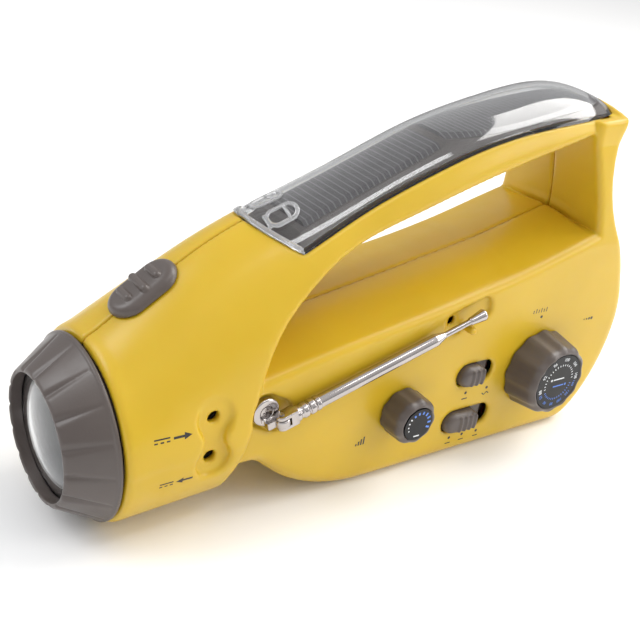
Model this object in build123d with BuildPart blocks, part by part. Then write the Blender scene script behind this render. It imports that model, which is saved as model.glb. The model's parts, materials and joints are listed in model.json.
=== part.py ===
from build123d import *
import os
from math import atan2, cos, degrees, pi, radians, sin

os.makedirs("parts", exist_ok=True)

# An emergency radio with a torch, in millimetres. +X runs from the lamp to the tail, +Z is up, and
# Y = 0 is the joint between the two moulded halves. The control panel faces -Y, the crank faces +Y.
# The origin lies on the flat base.

# ---------------------------------------------------------------- driving dimensions
wall = 2.2  # housing wall
gap = 0.3  # play between pieces that move past each other
fit = 0.05  # radial play of a shaft in its bearing

lamp_tilt = 3.6  # the lamp looks down by this angle, degrees
lamp_centre = (-104, 0, 31.5)  # centre of the barrel's front face
barrel_radius = 31.4
barrel_mouth_radius = 28.0
bezel_radius = 30.4
bezel_length = 14.7

panel_half_width = 27.8  # from the joint to the control panel
strut_half_width = 21.5  # the same, at the top of the tail strut
base_fillet = 6.0
tail_fillet = 10.0

tuning_centre = (71.2, 32.4)  # X and Z of the control axes
volume_centre = (3.6, 28.4)
band_slot_centre = (39.1, 35.5)
band_slot_size = (18.4, 9.4)
function_slot_centre = (39.9, 15.6)
function_slot_size = (24.0, 9.4)
band_slider_length = 12.0
function_slider_length = 16.4
slider_height = 8.6
slider_proud = 3.4

jack_centres = [(-74.6, 44.6), (-74.2, 30.2)]  # charging socket out, then in
jack_bore_radius = 1.8
jack_recess_floor = 28.6  # distance of the recess's floor from the joint

antenna_angle = 16.4  # slope of the folded antenna
antenna_y = -31.0
swivel_centre = (-55.0, 41.4)
elbow_centre = (-50.3, 38.8)

crank_centre = (62.0, 36.0)
crank_arm_length = 44.0
crank_arm_width = 16.0
gear_module = 1.0
crank_teeth, idler_pinion_teeth, idler_teeth, rotor_teeth = 44, 12, 36, 10

speaker_centre = (-24.0, 31.0)
speaker_radius = 20.0

battery_door_size = (48.0, 32.0)
battery_door_x = 33.0

lamp_plane = Plane(
    origin=lamp_centre,
    x_dir=(0, -1, 0),
    z_dir=(-cos(radians(lamp_tilt)), 0, -sin(radians(lamp_tilt))),
)


def save(builder, label):
    """Name a finished piece and write it."""
    builder.part.label = label
    export_step(builder.part, f"parts/{label}.step")


# ---------------------------------------------------------------- the housing's surfaces
# Sections of the hood and handle from the lamp to the tail: X, height of the crown, half width,
# depth of the widest line under the crown, and a power that squares the shoulders above 2.
crown_sections = [
    (-104, 62.9, 31.4, 31.4, 2.0),
    (-85, 76.8, 31.0, 43.5, 2.0),
    (-65, 90.0, 30.4, 56.0, 2.0),
    (-40, 100.8, 27.0, 40.0, 2.0),
    (-15, 110.7, 22.5, 28.0, 2.1),
    (15, 122.8, 20.6, 22.0, 2.3),
    (50, 131.8, 20.5, 20.0, 2.5),
    (78, 135.2, 20.8, 20.0, 2.5),
    (100, 129.6, 21.0, 15.0, 2.5),
]

# Rear edge of the hood and underside of the handle, from the notch under the hood to the tail.
crease_points = [
    (-64.4, 20), (-62, 31.5), (-59.8, 42), (-56.2, 56), (-49.8, 69),
    (-42, 77.6), (-27, 88.6), (-2.6, 98), (26, 107.2), (62, 117.2), (96, 125.6),
]

# Seat of the solar cover: its lower edge, from the front corner to the tail.
seat_points = [(-42, 89.4), (-22, 98.9), (2.6, 109.4), (25, 117.5), (60, 124.8), (94.5, 127.9)]


def dome_section(x, crown, half_width, shoulder, power, inset):
    """One rounded section of the hood and handle, closed by a line at its widest level."""
    points = []
    for step in range(-6, 7):
        angle = radians(15 * step)
        rise = (shoulder - inset) * max(cos(angle), 0.0) ** (2 / power)
        points.append(((half_width - inset) * sin(angle), crown - shoulder + rise))
    with BuildSketch(Plane.YZ.offset(x)) as section:
        with BuildLine():
            Spline(*points)
            Line(points[-1], points[0])
        make_face()
    return section.sketch


def canopy(inset):
    """The outer form of hood and handle, moved in by a wall."""
    with BuildPart() as form:
        loft([dome_section(*values, inset) for values in crown_sections])
    return form.part


def moved_in(points, inset):
    """The points of a closed outline, drawn anticlockwise, moved inwards."""
    corners = [Vector(*point) for point in points]
    sides = [(b - a).normalized() for a, b in zip(corners, corners[1:] + corners[:1])]
    inward = [Vector(-side.Y, side.X) for side in sides]
    moved = []
    for corner, before, after in zip(corners, inward[-1:] + inward[:-1], inward):
        place = corner + (before + after) * (inset / (1 + before.dot(after)))
        moved.append((place.X, place.Y))
    return moved


def hood_outline(inset):
    """Side view of all that belongs to the hood and the handle."""
    frame = [(97, 150), (-110, 150), (-101.3, -10), (-64, -10)]
    points = moved_in(crease_points + frame, inset)
    crease = points[: len(crease_points)]
    with BuildSketch(Plane.XZ) as outline:
        with BuildLine():
            Spline(*crease)
            Polyline(crease[-1], *points[len(crease) :], crease[0])
        make_face()
    return outline.sketch


def body_outline(inset):
    """Side view of the rear body with the tail strut, the hand opening left out."""
    front = [(-66, 50), (-66, 20.6)]
    chin = [(-57, 20.6), (-50, 17), (-40.4, 9.5), (-28, 3.6), (-6, 0)]
    tail = [(94, 0), (112.5, 12), (120.6, 38), (113, 67), (98.8, 91), (94.6, 110), (97, 124)]
    top = [(97, 136), (80, 136)]
    strut = [(81, 121), (84.2, 110), (87.6, 98)]
    floor = [(90, 84.8), (51.5, 73.4), (14, 65.6), (-30, 58.2)]
    points = iter(moved_in(front + chin + tail + top + strut + floor, inset))
    front, chin, tail, top, strut, floor = (
        [next(points) for _ in part] for part in (front, chin, tail, top, strut, floor)
    )
    with BuildSketch(Plane.XZ) as outline:
        with BuildLine():
            Polyline(*front, chin[0])
            Spline(*chin, tangents=((1, 0), (1, 0)))
            Line(chin[-1], tail[0])
            Spline(*tail, tangents=((1, 0), (0.4, 1)))
            Polyline(tail[-1], *top, strut[0])
            Spline(*strut, floor[0])
            Spline(*floor, front[0])
        make_face()
    return outline.sketch


def body_form(inset):
    """The rear body: its side view, narrowed towards the top of the tail strut."""
    side = panel_half_width - inset
    top = strut_half_width - inset
    round_radius = base_fillet - inset
    low = side - round_radius
    with BuildPart() as form:
        with BuildSketch(Plane.XZ):
            add(body_outline(inset))
        extrude(amount=side, both=True)
        with BuildSketch(Plane.YZ.offset(-80)):
            with BuildLine():
                Polyline((-low, inset), (low, inset))
                RadiusArc((low, inset), (side, base_fillet), -round_radius)
                Polyline((side, base_fillet), (side, 80), (top, 118), (top, 127.4 - inset))
                ThreePointArc((top, 127.4 - inset), (0, 130.8 - inset), (-top, 127.4 - inset))
                Polyline((-top, 127.4 - inset), (-top, 118), (-side, 80), (-side, base_fillet))
                RadiusArc((-side, base_fillet), (-low, inset), -round_radius)
            make_face()
        extrude(amount=240, mode=Mode.INTERSECT)
        with BuildSketch(Plane.XY.offset(-10)):
            with Locations((20, 0)):
                Rectangle(2 * (101.5 - inset), 2 * side)
            fillet(vertices().group_by(Axis.X)[-1], tail_fillet - inset)
        extrude(amount=160, mode=Mode.INTERSECT)
    return form.part


def floor_crown(inset):
    """The gently arched floor of the hand opening, on top of the rear body."""
    half = panel_half_width - 2.6 - inset
    with BuildPart() as form:
        sections = []
        for x, edge in ((-62, 50.6), (10, 64.7), (52, 73.3), (90, 83.9)):
            low = edge - 6 - inset
            with BuildSketch(Plane.YZ.offset(x)) as section:
                with BuildLine():
                    ThreePointArc((-half, edge - inset), (0, edge + 4.4 - inset), (half, edge - inset))
                    Polyline((half, edge - inset), (half, low), (-half, low), (-half, edge - inset))
                make_face()
            sections.append(section.sketch)
        loft(sections)
    return form.part


def hood_form(inset):
    """Barrel, hood and handle, ending at the crease over the rear body."""
    with BuildPart() as form:
        add(canopy(inset))
        with BuildSketch(lamp_plane):
            Circle(barrel_radius - inset)
        extrude(amount=-46)
        with BuildSketch(Plane.XZ):
            add(hood_outline(inset))
        extrude(amount=45, both=True, mode=Mode.INTERSECT)
    return form.part


def cover_outline(drop):
    """Side view of the space that the solar cover takes out of the handle."""
    seat = [(x, z - drop) for x, z in seat_points]
    with BuildSketch(Plane.XZ) as outline:
        with BuildLine():
            Spline(*seat)
            Polyline(seat[-1], (94.5, 145), (-52, 145), (-54, 95.2 - drop), seat[0])
        make_face()
    return outline.sketch


with BuildPart() as cover_space:
    add(canopy(-1.0))
    with BuildSketch(Plane.XZ):
        add(cover_outline(0))
    extrude(amount=30, both=True, mode=Mode.INTERSECT)

with BuildPart() as housing_outside:
    add(hood_form(0))
    add(body_form(0))
    add(floor_crown(0))
with BuildPart() as housing_inside:
    add(hood_form(wall))
    add(body_form(wall))
    add(floor_crown(wall))

# ---------------------------------------------------------------- housing halves
lamp_switch_plane = Plane(  # on the crown of the hood, local x along the slide
    origin=(-86.5, 0, 76.0),
    x_dir=(cos(radians(35.5)), 0, sin(radians(35.5))),
    z_dir=(-sin(radians(35.5)), 0, cos(radians(35.5))),
)
housing_screw_places = [(-50, 30), (106, 24), (98, 64), (-6, 54), (-70, 72)]
boss_radius, screw_radius, screw_head_radius = 3.6, 1.3, 2.6
screw_seat_y, screw_tip_y = 17.0, 9.0
rest_hook = (27.0, 57.5)  # just under the thickest sliding section of the antenna


def peanut(centres, radius, waist):
    """Two circles joined by a narrower bar, in the sketch in hand."""
    with Locations(*centres):
        Circle(radius)
    (x0, z0), (x1, z1) = centres
    with Locations(((x0 + x1) / 2, (z0 + z1) / 2)):
        Rectangle(2 * waist, abs(z1 - z0), rotation=degrees(atan2(z0 - z1, x0 - x1)) - 90)


with BuildPart() as near_side:
    with BuildSketch(Plane.XZ):
        Rectangle(300, 400)
    extrude(amount=60)

with BuildPart() as housing:
    add(housing_outside.part)
    add(housing_inside.part, mode=Mode.SUBTRACT)
    add(cover_space.part, mode=Mode.SUBTRACT)

with BuildPart() as near_pads:
    # behind the socket recess, the antenna recess and the tip pocket, then the screw bosses
    with BuildSketch(Plane.XZ.offset(25.6)):
        peanut(jack_centres, 8.2, 6.4)
    extrude(amount=6)
    with BuildSketch(Plane.XZ.offset(24.0)):
        with Locations(swivel_centre, elbow_centre):
            Circle(8.5)
        with Locations((28, 60)):
            Rectangle(26, 13, rotation=antenna_angle)
    extrude(amount=3)
    with BuildSketch(Plane.XZ):
        with Locations(*housing_screw_places):
            Circle(boss_radius)
    extrude(amount=33)
    add(housing_outside.part, mode=Mode.INTERSECT)

with BuildPart() as far_pads:
    with BuildSketch(Plane.XZ):
        with Locations(*housing_screw_places):
            Circle(boss_radius)
    extrude(amount=-33)
    with BuildSketch(Plane.XZ.offset(-24.2)):
        with Locations(crank_centre):
            Circle(7)
    extrude(amount=-2)
    add(housing_outside.part, mode=Mode.INTERSECT)

with BuildPart() as shared_cuts:
    # opening between hood and rear body, for the wiring
    with BuildSketch(Plane.XZ):
        with Locations((-62, 46)):
            Rectangle(18, 14)
    extrude(amount=16, both=True)
    # mouth of the barrel
    with BuildSketch(lamp_plane.offset(2)):
        Circle(barrel_mouth_radius)
    extrude(amount=-8)
    # slot for the stem of the lamp switch
    with BuildSketch(lamp_switch_plane.offset(-8)):
        SlotOverall(13.0, 5.0)
    extrude(amount=16)
    # battery opening
    with BuildSketch(Plane.XY.offset(-1)):
        with Locations((battery_door_x, 0)):
            RectangleRounded(battery_door_size[0] + 2 * gap, battery_door_size[1] + 2 * gap, 3 + gap)
    extrude(amount=6)
    with BuildSketch(Plane.XZ.offset(screw_tip_y - 1)):
        with Locations(*housing_screw_places):
            Circle(screw_radius + fit)
    extrude(amount=-40)

with BuildPart() as near_cuts:
    # recess and holes of the charging sockets
    with BuildSketch(Plane.XZ.offset(jack_recess_floor)):
        peanut(jack_centres, 6.0, 4.4)
    extrude(amount=6)
    with BuildSketch(Plane.XZ.offset(20)):
        with Locations(*jack_centres):
            Circle(jack_bore_radius + gap)
    extrude(amount=12)
    # recess for the antenna's swivel, pocket round its tip
    with BuildSketch(Plane.XZ.offset(25.9)):
        with Locations(swivel_centre, elbow_centre):
            Circle(6.0)
        with Locations((28.6, 61)):
            RectangleRounded(21, 8.4, 3, rotation=antenna_angle)
    extrude(amount=4)
    # holes of the antenna bracket, the knobs and the switches
    with BuildSketch(Plane.XZ.offset(20)):
        with Locations(swivel_centre):
            Circle(3.0 + gap)
        with Locations(volume_centre):
            Circle(4.0)
        with Locations(tuning_centre):
            Circle(4.5)
        with Locations(band_slot_centre):
            SlotOverall(*band_slot_size)
        with Locations(function_slot_centre):
            SlotOverall(*function_slot_size)
        with Locations((21.9, 59.6)):
            Rectangle(3, 3)
    extrude(amount=10)

with BuildPart() as far_cuts:
    # heads of the housing screws
    with BuildSketch(Plane.XZ.offset(-screw_seat_y)):
        with Locations(*housing_screw_places):
            Circle(screw_head_radius + gap)
    extrude(amount=-18)
    # speaker grille
    with BuildSketch(Plane.XZ.offset(-24)):
        for row in range(-3, 4):
            half_chord = (16.5**2 - (4.6 * row) ** 2) ** 0.5
            with Locations((speaker_centre[0], speaker_centre[1] + 4.6 * row)):
                SlotOverall(2 * half_chord + 2.2, 2.2)
    extrude(amount=-8)
    # bearing of the crank
    with BuildSketch(Plane.XZ.offset(-20)):
        with Locations(crank_centre):
            Circle(3.0 + fit)
    extrude(amount=-10)

with BuildPart() as near_shell:
    add(housing.part)
    add(near_side.part, mode=Mode.INTERSECT)
    add(near_pads.part)
    add(shared_cuts.part, mode=Mode.SUBTRACT)
    add(near_cuts.part, mode=Mode.SUBTRACT)
    # hook under the antenna's tip
    with BuildSketch(Plane.XZ.offset(24.5)):
        with Locations(rest_hook):
            RectangleRounded(3.2, 2.4, 0.8)
    extrude(amount=8.5)
save(near_shell, "near_shell")

with BuildPart() as far_shell:
    add(housing.part)
    add(near_side.part, mode=Mode.SUBTRACT)
    add(far_pads.part)
    add(shared_cuts.part, mode=Mode.SUBTRACT)
    add(far_cuts.part, mode=Mode.SUBTRACT)
save(far_shell, "far_shell")


def panel_plane(point, y):
    """A plane at a place of the side view, facing the panel side."""
    return Plane(origin=(point[0], y, point[1]), x_dir=(1, 0, 0), z_dir=(0, -1, 0))


def crank_plane(point, y):
    """A plane at a place of the side view, facing the crank side."""
    return Plane(origin=(point[0], y, point[1]), x_dir=(1, 0, 0), z_dir=(0, 1, 0))


def turned(plane, *outlines):
    """Closed outlines of (radius, height) points turned about a plane's normal."""
    profile_plane = Plane(origin=plane.origin, x_dir=plane.x_dir, z_dir=-plane.y_dir)
    with BuildPart() as body:
        for outline in outlines:
            with BuildSketch(profile_plane):
                with BuildLine():
                    Polyline(*outline, close=True)
                make_face()
            revolve(axis=Axis(plane.origin, plane.z_dir))
    return body.part


def rod(radius, low, high, bore=0.0):
    """Outline of a round piece between two heights, with an optional bore."""
    return [(bore, low), (radius, low), (radius, high), (bore, high)]


with BuildPart() as housing_screws:
    for place in housing_screw_places:
        seat = crank_plane(place, screw_seat_y)
        add(turned(seat, rod(screw_head_radius, 0, 1.8), rod(screw_radius, 0.5 - screw_seat_y - 8, 0)))
        with BuildSketch(seat.offset(1.8)):
            Rectangle(3.2, 0.7)
            Rectangle(0.7, 3.2)
        extrude(amount=-1.0, mode=Mode.SUBTRACT)
save(housing_screws, "housing_screws")

# ---------------------------------------------------------------- lamp head
groove_count = 16
lens_seat = 10.6  # height of the shoulder that the lens rests against
lamp_axis = Axis(lamp_plane.origin, lamp_plane.z_dir)

with BuildPart() as groove:
    # height, radius of the cone, depth and half width of a grip groove above the cone
    for height, radius, depth, half_width in ((2.4, 29.4, 0.2, 2.4), (15.2, 21.4, 1.2, 3.5)):
        with BuildSketch(lamp_plane.offset(height)):
            with BuildLine():
                Polyline((radius - depth, 0), (radius + 1, half_width), (radius + 1, -half_width),
                         close=True)
            make_face()
    loft()

with BuildPart() as bezel_ring:
    add(turned(lamp_plane, [
        (20.4, 14.7), (21.4, 14.7), (22.2, 14.0), (29.7, 1.9), (30.4, 1.5), (30.4, 0.3),
        (27.6, 0.3), (27.6, -6), (25.4, -6), (25.4, 1.6), (23.1, 1.6), (23.1, 8.9), (22.1, 8.9),
        (22.1, lens_seat), (20.4, lens_seat),
    ]))
    for turn in range(groove_count):
        add(groove.part.rotate(lamp_axis, turn * 360 / groove_count), mode=Mode.SUBTRACT)
save(bezel_ring, "bezel_ring")

lamp_profile = Plane(origin=lamp_plane.origin, x_dir=lamp_plane.x_dir, z_dir=-lamp_plane.y_dir)

lens_apex, lens_curve = 14.3, 55.0  # height of the dome in front of the barrel, its radius
lens_rear = 8.95
lens_centre = lamp_plane.offset(lens_apex - lens_curve)
with BuildPart() as lens_dome:
    add(turned(lamp_plane, rod(20.0, lens_rear, 16)))
    with Locations(lens_centre):
        Sphere(lens_curve, mode=Mode.INTERSECT)

with BuildPart() as lens:
    add(lens_dome.part)
    add(turned(lamp_plane, rod(21.9, lens_rear, lens_seat - 0.1)))
    with Locations(lens_centre):
        Sphere(lens_curve - 2.0, mode=Mode.SUBTRACT)
save(lens, "lens")

with BuildPart() as lens_retainer:
    add(turned(lamp_plane, rod(23.0, 1.7, lens_rear - 0.1, 20.6)))
save(lens_retainer, "lens_retainer")

reflector_throat, reflector_focus, reflector_base = 5.2, 5.7, -19.0
reflector_curve = [
    (radius, reflector_base + (radius**2 - reflector_throat**2) / (4 * reflector_focus))
    for radius in (reflector_throat, 9, 13, 17, 20, 22.2)
]
with BuildPart() as reflector:
    with BuildSketch(lamp_profile):
        with BuildLine():
            Spline(*reflector_curve)
            Spline(*[(radius, height - 1.4) for radius, height in reflector_curve])
            Line(reflector_curve[0], (reflector_throat, reflector_base - 1.4))
            Line(reflector_curve[-1], (22.2, reflector_curve[-1][1] - 1.4))
        make_face()
    revolve(axis=lamp_axis)
save(reflector, "reflector")

with BuildPart() as lamp_bulb:
    add(turned(lamp_plane, rod(3.2, -24.5, -16.5)))
    with Locations(lamp_plane.offset(-13.5)):
        Sphere(4.3)
save(lamp_bulb, "lamp_bulb")

with BuildPart() as lamp_socket:
    add(turned(lamp_plane, [
        (3.25, -21), (8.4, -21), (8.4, -26), (0, -26), (0, -24.6), (3.25, -24.6)]))
save(lamp_socket, "lamp_socket")

with BuildPart() as lamp_bulkhead:
    with BuildSketch(lamp_plane.offset(-23.2)):
        Circle(28.9)
        Rectangle(50.4, 60, mode=Mode.INTERSECT)
        Circle(8.5, mode=Mode.SUBTRACT)
    extrude(amount=1.6)
save(lamp_bulkhead, "lamp_bulkhead")

# ---------------------------------------------------------------- lamp switch
lamp_switch_travel = 4.5
with BuildPart() as lamp_switch_slider:
    with BuildSketch(lamp_switch_plane.offset(-4)):
        SlotOverall(24.4, 14.6)
    extrude(amount=7.2)
    fillet(lamp_switch_slider.faces().sort_by(Axis(lamp_switch_plane.origin, lamp_switch_plane.z_dir))[-1]
           .edges(), 1.6)
    add(canopy(-0.5), mode=Mode.SUBTRACT)
    with BuildSketch(lamp_switch_plane.offset(2)):
        for place, length in ((-5.4, 7.6), (0, 10.4), (5.4, 7.6)):
            with Locations((place, 0)):
                SlotOverall(length, 2.8, rotation=90)
    extrude(amount=2.3)
    with BuildSketch(lamp_switch_plane.offset(-6.5)):
        with Locations((-2.4, 0)):
            Rectangle(5.4, 4.0)
    extrude(amount=8.5)
save(lamp_switch_slider, "lamp_switch_slider")

with BuildPart() as lamp_switch_body:
    with BuildSketch(lamp_switch_plane.offset(-13)):
        with Locations((-2.5, 0)):
            Rectangle(14, 9)
    extrude(amount=6.2)
save(lamp_switch_body, "lamp_switch_body")

# ---------------------------------------------------------------- solar charger in the handle
cover_wall = 1.6
front_cell_line = [(-38, 95.0), (14.5, 117.2)]
rear_cell_line = [(17.5, 119.4), (88, 130.4)]
cell_thickness = 1.2


def strip(form, points):
    """What a side view outline takes out of a form."""
    with BuildPart() as piece:
        add(form)
        with BuildSketch(Plane.XZ):
            with BuildLine():
                Polyline(*points, close=True)
            make_face()
        extrude(amount=30, both=True, mode=Mode.INTERSECT)
    return piece.part


with BuildPart() as solar_cover:
    add(canopy(0))
    add(canopy(cover_wall), mode=Mode.SUBTRACT)
    with BuildSketch(Plane.XZ):
        add(cover_outline(-0.1))
    extrude(amount=30, both=True, mode=Mode.INTERSECT)
save(solar_cover, "solar_cover")

with BuildPart() as solar_tray:
    add(canopy(cover_wall + 0.6))
    with BuildSketch(Plane.XZ):
        with BuildLine():
            Spline(*[(x, z + 0.2) for x, z in seat_points[:-1] + [(90, 127.8)]])
            Polyline((90, 128.0), (90, 130.6), rear_cell_line[0], front_cell_line[1],
                     front_cell_line[0], (-40, 94.0), (-42, 89.6))
        make_face()
    extrude(amount=30, both=True, mode=Mode.INTERSECT)
save(solar_tray, "solar_tray")

cell_form = canopy(cover_wall + 1.0)
for label, (start, end) in (("solar_cell_front", front_cell_line), ("solar_cell_rear", rear_cell_line)):
    with BuildPart() as solar_cell:
        add(strip(cell_form, [(start[0], start[1] + 0.05), (end[0], end[1] + 0.05),
                              (end[0], end[1] + cell_thickness), (start[0], start[1] + cell_thickness)]))
    save(solar_cell, label)

# ---------------------------------------------------------------- tuning and volume knobs


def fluted_knob(plane, base_radius, front_radius, height, flutes, dial_radius, dial_depth):
    """A knob with shallow flutes, a rounded rim and a sunk dial; its base stands on the plane."""
    rim = 1.6
    with BuildPart() as knob:
        for level, radius in ((0, base_radius), (height, front_radius)):
            with BuildSketch(plane.offset(level)):
                Circle(radius)
                with PolarLocations(radius * 1.30, flutes):
                    Circle(radius * 0.345, mode=Mode.SUBTRACT)
        loft()
        profile = Plane(origin=plane.origin, x_dir=plane.x_dir, z_dir=-plane.y_dir)
        with BuildSketch(profile):
            with BuildLine():
                Polyline((dial_radius, height), (0, height), (0, 0), (base_radius + 1, 0),
                         (front_radius + 0.2, height - rim))
                ThreePointArc((front_radius + 0.2, height - rim),
                              (front_radius - 0.35, height - 0.45), (front_radius - rim, height))
                Line((front_radius - rim, height), (dial_radius, height))
            make_face()
        revolve(axis=Axis(plane.origin, plane.z_dir), mode=Mode.INTERSECT)
        add(turned(plane, rod(dial_radius, height - dial_depth, height + 1)), mode=Mode.SUBTRACT)
        add(turned(plane, rod(3.0, -1, height - 4)), mode=Mode.SUBTRACT)
    return knob


def controls(name, centre, knob_sizes, dial_radius, dial_depth, bearing_y):
    """Knob, dial and shaft of one rotary control."""
    plane = panel_plane(centre, -panel_half_width - gap)
    height = knob_sizes[2]
    save(fluted_knob(plane, *knob_sizes, dial_radius, dial_depth), f"{name}_knob")
    with BuildPart() as dial:
        dial_top = height - max(dial_depth - 0.9, 0.1)
        add(turned(plane, rod(dial_radius - fit, height - dial_depth, dial_top)))
    save(dial, f"{name}_dial")
    with BuildPart() as shaft:
        add(turned(plane, rod(3.0, -panel_half_width - gap - bearing_y, height - 4)))
    save(shaft, f"{name}_shaft")


controls("tuning", tuning_centre, (16.0, 13.9, 14.0, 12), 11.5, 1.7, -22.5)
controls("volume", volume_centre, (9.1, 8.8, 10.5, 9), 6.2, 0.9, -22.5)

board_front = -18.9
bearing_depth = 5.4
with BuildPart() as tuning_capacitor:
    with BuildSketch(panel_plane(tuning_centre, board_front)):
        Rectangle(22, 22)
    extrude(amount=4.4)
    add(turned(panel_plane(tuning_centre, board_front), rod(4.2, 4.4, 6.6)))
    add(turned(panel_plane(tuning_centre, -22.1), rod(3.0 + fit, 0, 8)), mode=Mode.SUBTRACT)
save(tuning_capacitor, "tuning_capacitor")

with BuildPart() as volume_control:
    add(turned(panel_plane(volume_centre, board_front), rod(8.2, 0, 4.4), rod(3.8, 4.4, 6.6)))
    add(turned(panel_plane(volume_centre, -22.1), rod(3.0 + fit, 0, 8)), mode=Mode.SUBTRACT)
save(volume_control, "volume_control")

# ---------------------------------------------------------------- slide switches


def slide_switch(name, slot_centre, slot_size, length, ribs):
    """A ribbed slider at the left end of its slot, and the switch behind it."""
    centre = (slot_centre[0] - (slot_size[0] - length) / 2 + gap, slot_centre[1])
    outside = panel_plane(centre, -panel_half_width)
    with BuildPart() as slider:
        with BuildSketch(outside.offset(-2.6)):
            SlotOverall(length, slider_height)
        extrude(amount=2.6 + slider_proud)
        fillet(slider.faces().sort_by(Axis.Y)[0].edges(), 1.5)
        with BuildSketch(outside.offset(slider_proud - 1.2)):
            for rib in range(ribs):
                with Locations(((rib - (ribs - 1) / 2) * 2.7, 0)):
                    SlotOverall(slider_height - 1.8, 1.3, rotation=90)
        extrude(amount=1.6)
        with BuildSketch(outside.offset(-3.2)):
            Rectangle(length + 9, slider_height + 2)
        extrude(amount=0.7)
        with BuildSketch(outside.offset(-4.6)):
            Rectangle(3, 3)
        extrude(amount=1.6)
    save(slider, f"{name}_slider")
    with BuildPart() as body:
        with BuildSketch(panel_plane(slot_centre, board_front)):
            Rectangle(slot_size[0] + 4, 7)
        extrude(amount=4.0)
    save(body, f"{name}_switch_body")


slide_switch("band", band_slot_centre, band_slot_size, band_slider_length, 3)
slide_switch("function", function_slot_centre, function_slot_size, function_slider_length, 4)

# ---------------------------------------------------------------- electronics
with BuildPart() as main_board:
    with BuildSketch(Plane.XZ.offset(17.2)):
        with Locations((41, 31)):
            Rectangle(108, 38)
        for place in housing_screw_places:
            with Locations(place):
                Circle(boss_radius + 0.6, mode=Mode.SUBTRACT)
    extrude(amount=1.65)
save(main_board, "main_board")

for label, centre in zip(("charge_out_jack", "charge_in_jack"), jack_centres):
    with BuildPart() as jack:
        mouth = panel_plane(centre, -25.5)
        add(turned(mouth, [(jack_bore_radius, 0), (4.4, 0), (4.4, -12), (0, -12), (0, -11),
                           (jack_bore_radius, -11)]))
    save(jack, label)

with BuildPart() as ferrite_rod:
    with BuildSketch(Plane.YZ.offset(8)):
        with Locations((-8, 55)):
            Circle(3.6)
    extrude(amount=62)
save(ferrite_rod, "ferrite_rod")

with BuildPart() as aerial_coil:
    with BuildSketch(Plane.YZ.offset(14)):
        with Locations((-8, 55)):
            Circle(4.6)
            Circle(3.65, mode=Mode.SUBTRACT)
    extrude(amount=18)
save(aerial_coil, "aerial_coil")

with BuildPart() as speaker_frame:
    rear = crank_plane(speaker_centre, 10.5)
    add(turned(rear, [
        (0, 0), (9.5, 0), (9.5, 5), (speaker_radius - 2, 11), (speaker_radius, 11),
        (speaker_radius, 13), (speaker_radius - 2.2, 13), (9.0, 6.4), (0, 6.4)]))
save(speaker_frame, "speaker_frame")

with BuildPart() as speaker_cone:
    add(turned(rear, [
        (0, 8.4), (5, 8.4), (7, 7.4), (16.6, 12.8), (17.4, 12.8), (17.4, 13.4), (16.2, 13.4),
        (7.2, 8.2), (5.4, 9.4), (0, 10)]))
save(speaker_cone, "speaker_cone")

# ---------------------------------------------------------------- battery compartment
cell_radius, cell_length, cell_pitch = 5.1, 44.4, 10.5
with BuildPart() as battery_door:
    with BuildSketch(Plane.XY):
        with Locations((battery_door_x, 0)):
            RectangleRounded(*battery_door_size, 3)
    extrude(amount=2.0)
    with BuildSketch(Plane.XY):
        with Locations((battery_door_x + 17, 0)):
            for bar in range(4):
                with Locations((bar * 2.0, 0)):
                    SlotOverall(14, 0.9, rotation=90)
    extrude(amount=0.6, mode=Mode.SUBTRACT)
save(battery_door, "battery_door")

with BuildPart() as battery_cells:
    for row in (-1, 0, 1):
        with BuildSketch(Plane.YZ.offset(battery_door_x - cell_length / 2)):
            with Locations((row * cell_pitch, 7.8)):
                Circle(cell_radius)
        extrude(amount=cell_length)
save(battery_cells, "battery_cells")

with BuildPart() as battery_tray:
    with BuildSketch(Plane.XY.offset(2.4)):
        with Locations((battery_door_x, 0)):
            Rectangle(cell_length + 3.6, 3 * cell_pitch + 2.4)
    extrude(amount=12.0)
    with BuildSketch(Plane.XY.offset(2.4)):
        with Locations((battery_door_x, 0)):
            Rectangle(cell_length + 1.2, 3 * cell_pitch + 0.2)
    extrude(amount=10.7, mode=Mode.SUBTRACT)
save(battery_tray, "battery_tray")

# ---------------------------------------------------------------- telescopic antenna
rod_direction = Vector(cos(radians(antenna_angle)), 0, sin(radians(antenna_angle)))
elbow = Vector(elbow_centre[0], antenna_y, elbow_centre[1])
rod_plane = Plane(origin=elbow, x_dir=(0, -1, 0), z_dir=rod_direction)
pin_direction = Vector(-sin(radians(antenna_angle)), 0, cos(radians(antenna_angle)))
pin_plane = Plane(origin=elbow, x_dir=(0, -1, 0), z_dir=pin_direction)
tube_start, tube_end = 14.0, 64.2
ear_half, cheek_half = 1.3, 2.7
pin_radius = 0.8
screw_seat = panel_plane(swivel_centre, -27.1)

with BuildPart() as antenna_bracket:
    with BuildSketch(panel_plane(swivel_centre, -22.2)):
        Rectangle(16, 11)
    extrude(amount=1.4)
    add(turned(panel_plane(swivel_centre, -23.6), rod(3.0, 0, 2.2)))
    add(turned(panel_plane(swivel_centre, -21), rod(1.05, 0, 8)), mode=Mode.SUBTRACT)
save(antenna_bracket, "antenna_bracket")

with BuildPart() as antenna_swivel:
    add(turned(panel_plane(swivel_centre, -25.95), rod(4.9, 0, 2.65)))
    with BuildSketch(pin_plane.offset(-ear_half)):
        Circle(2.7)
        with Locations((-1.5, -2.1)):
            Rectangle(3.0, 6.4)
    extrude(amount=2 * ear_half)
    with BuildSketch(pin_plane.offset(-5)):
        Circle(pin_radius + fit)
    extrude(amount=10, mode=Mode.SUBTRACT)
    add(turned(screw_seat, rod(1.0 + fit, -3, 3)), mode=Mode.SUBTRACT)
    add(turned(screw_seat, rod(2.2 + fit, 0, 1.6)), mode=Mode.SUBTRACT)
save(antenna_swivel, "antenna_swivel")

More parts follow.
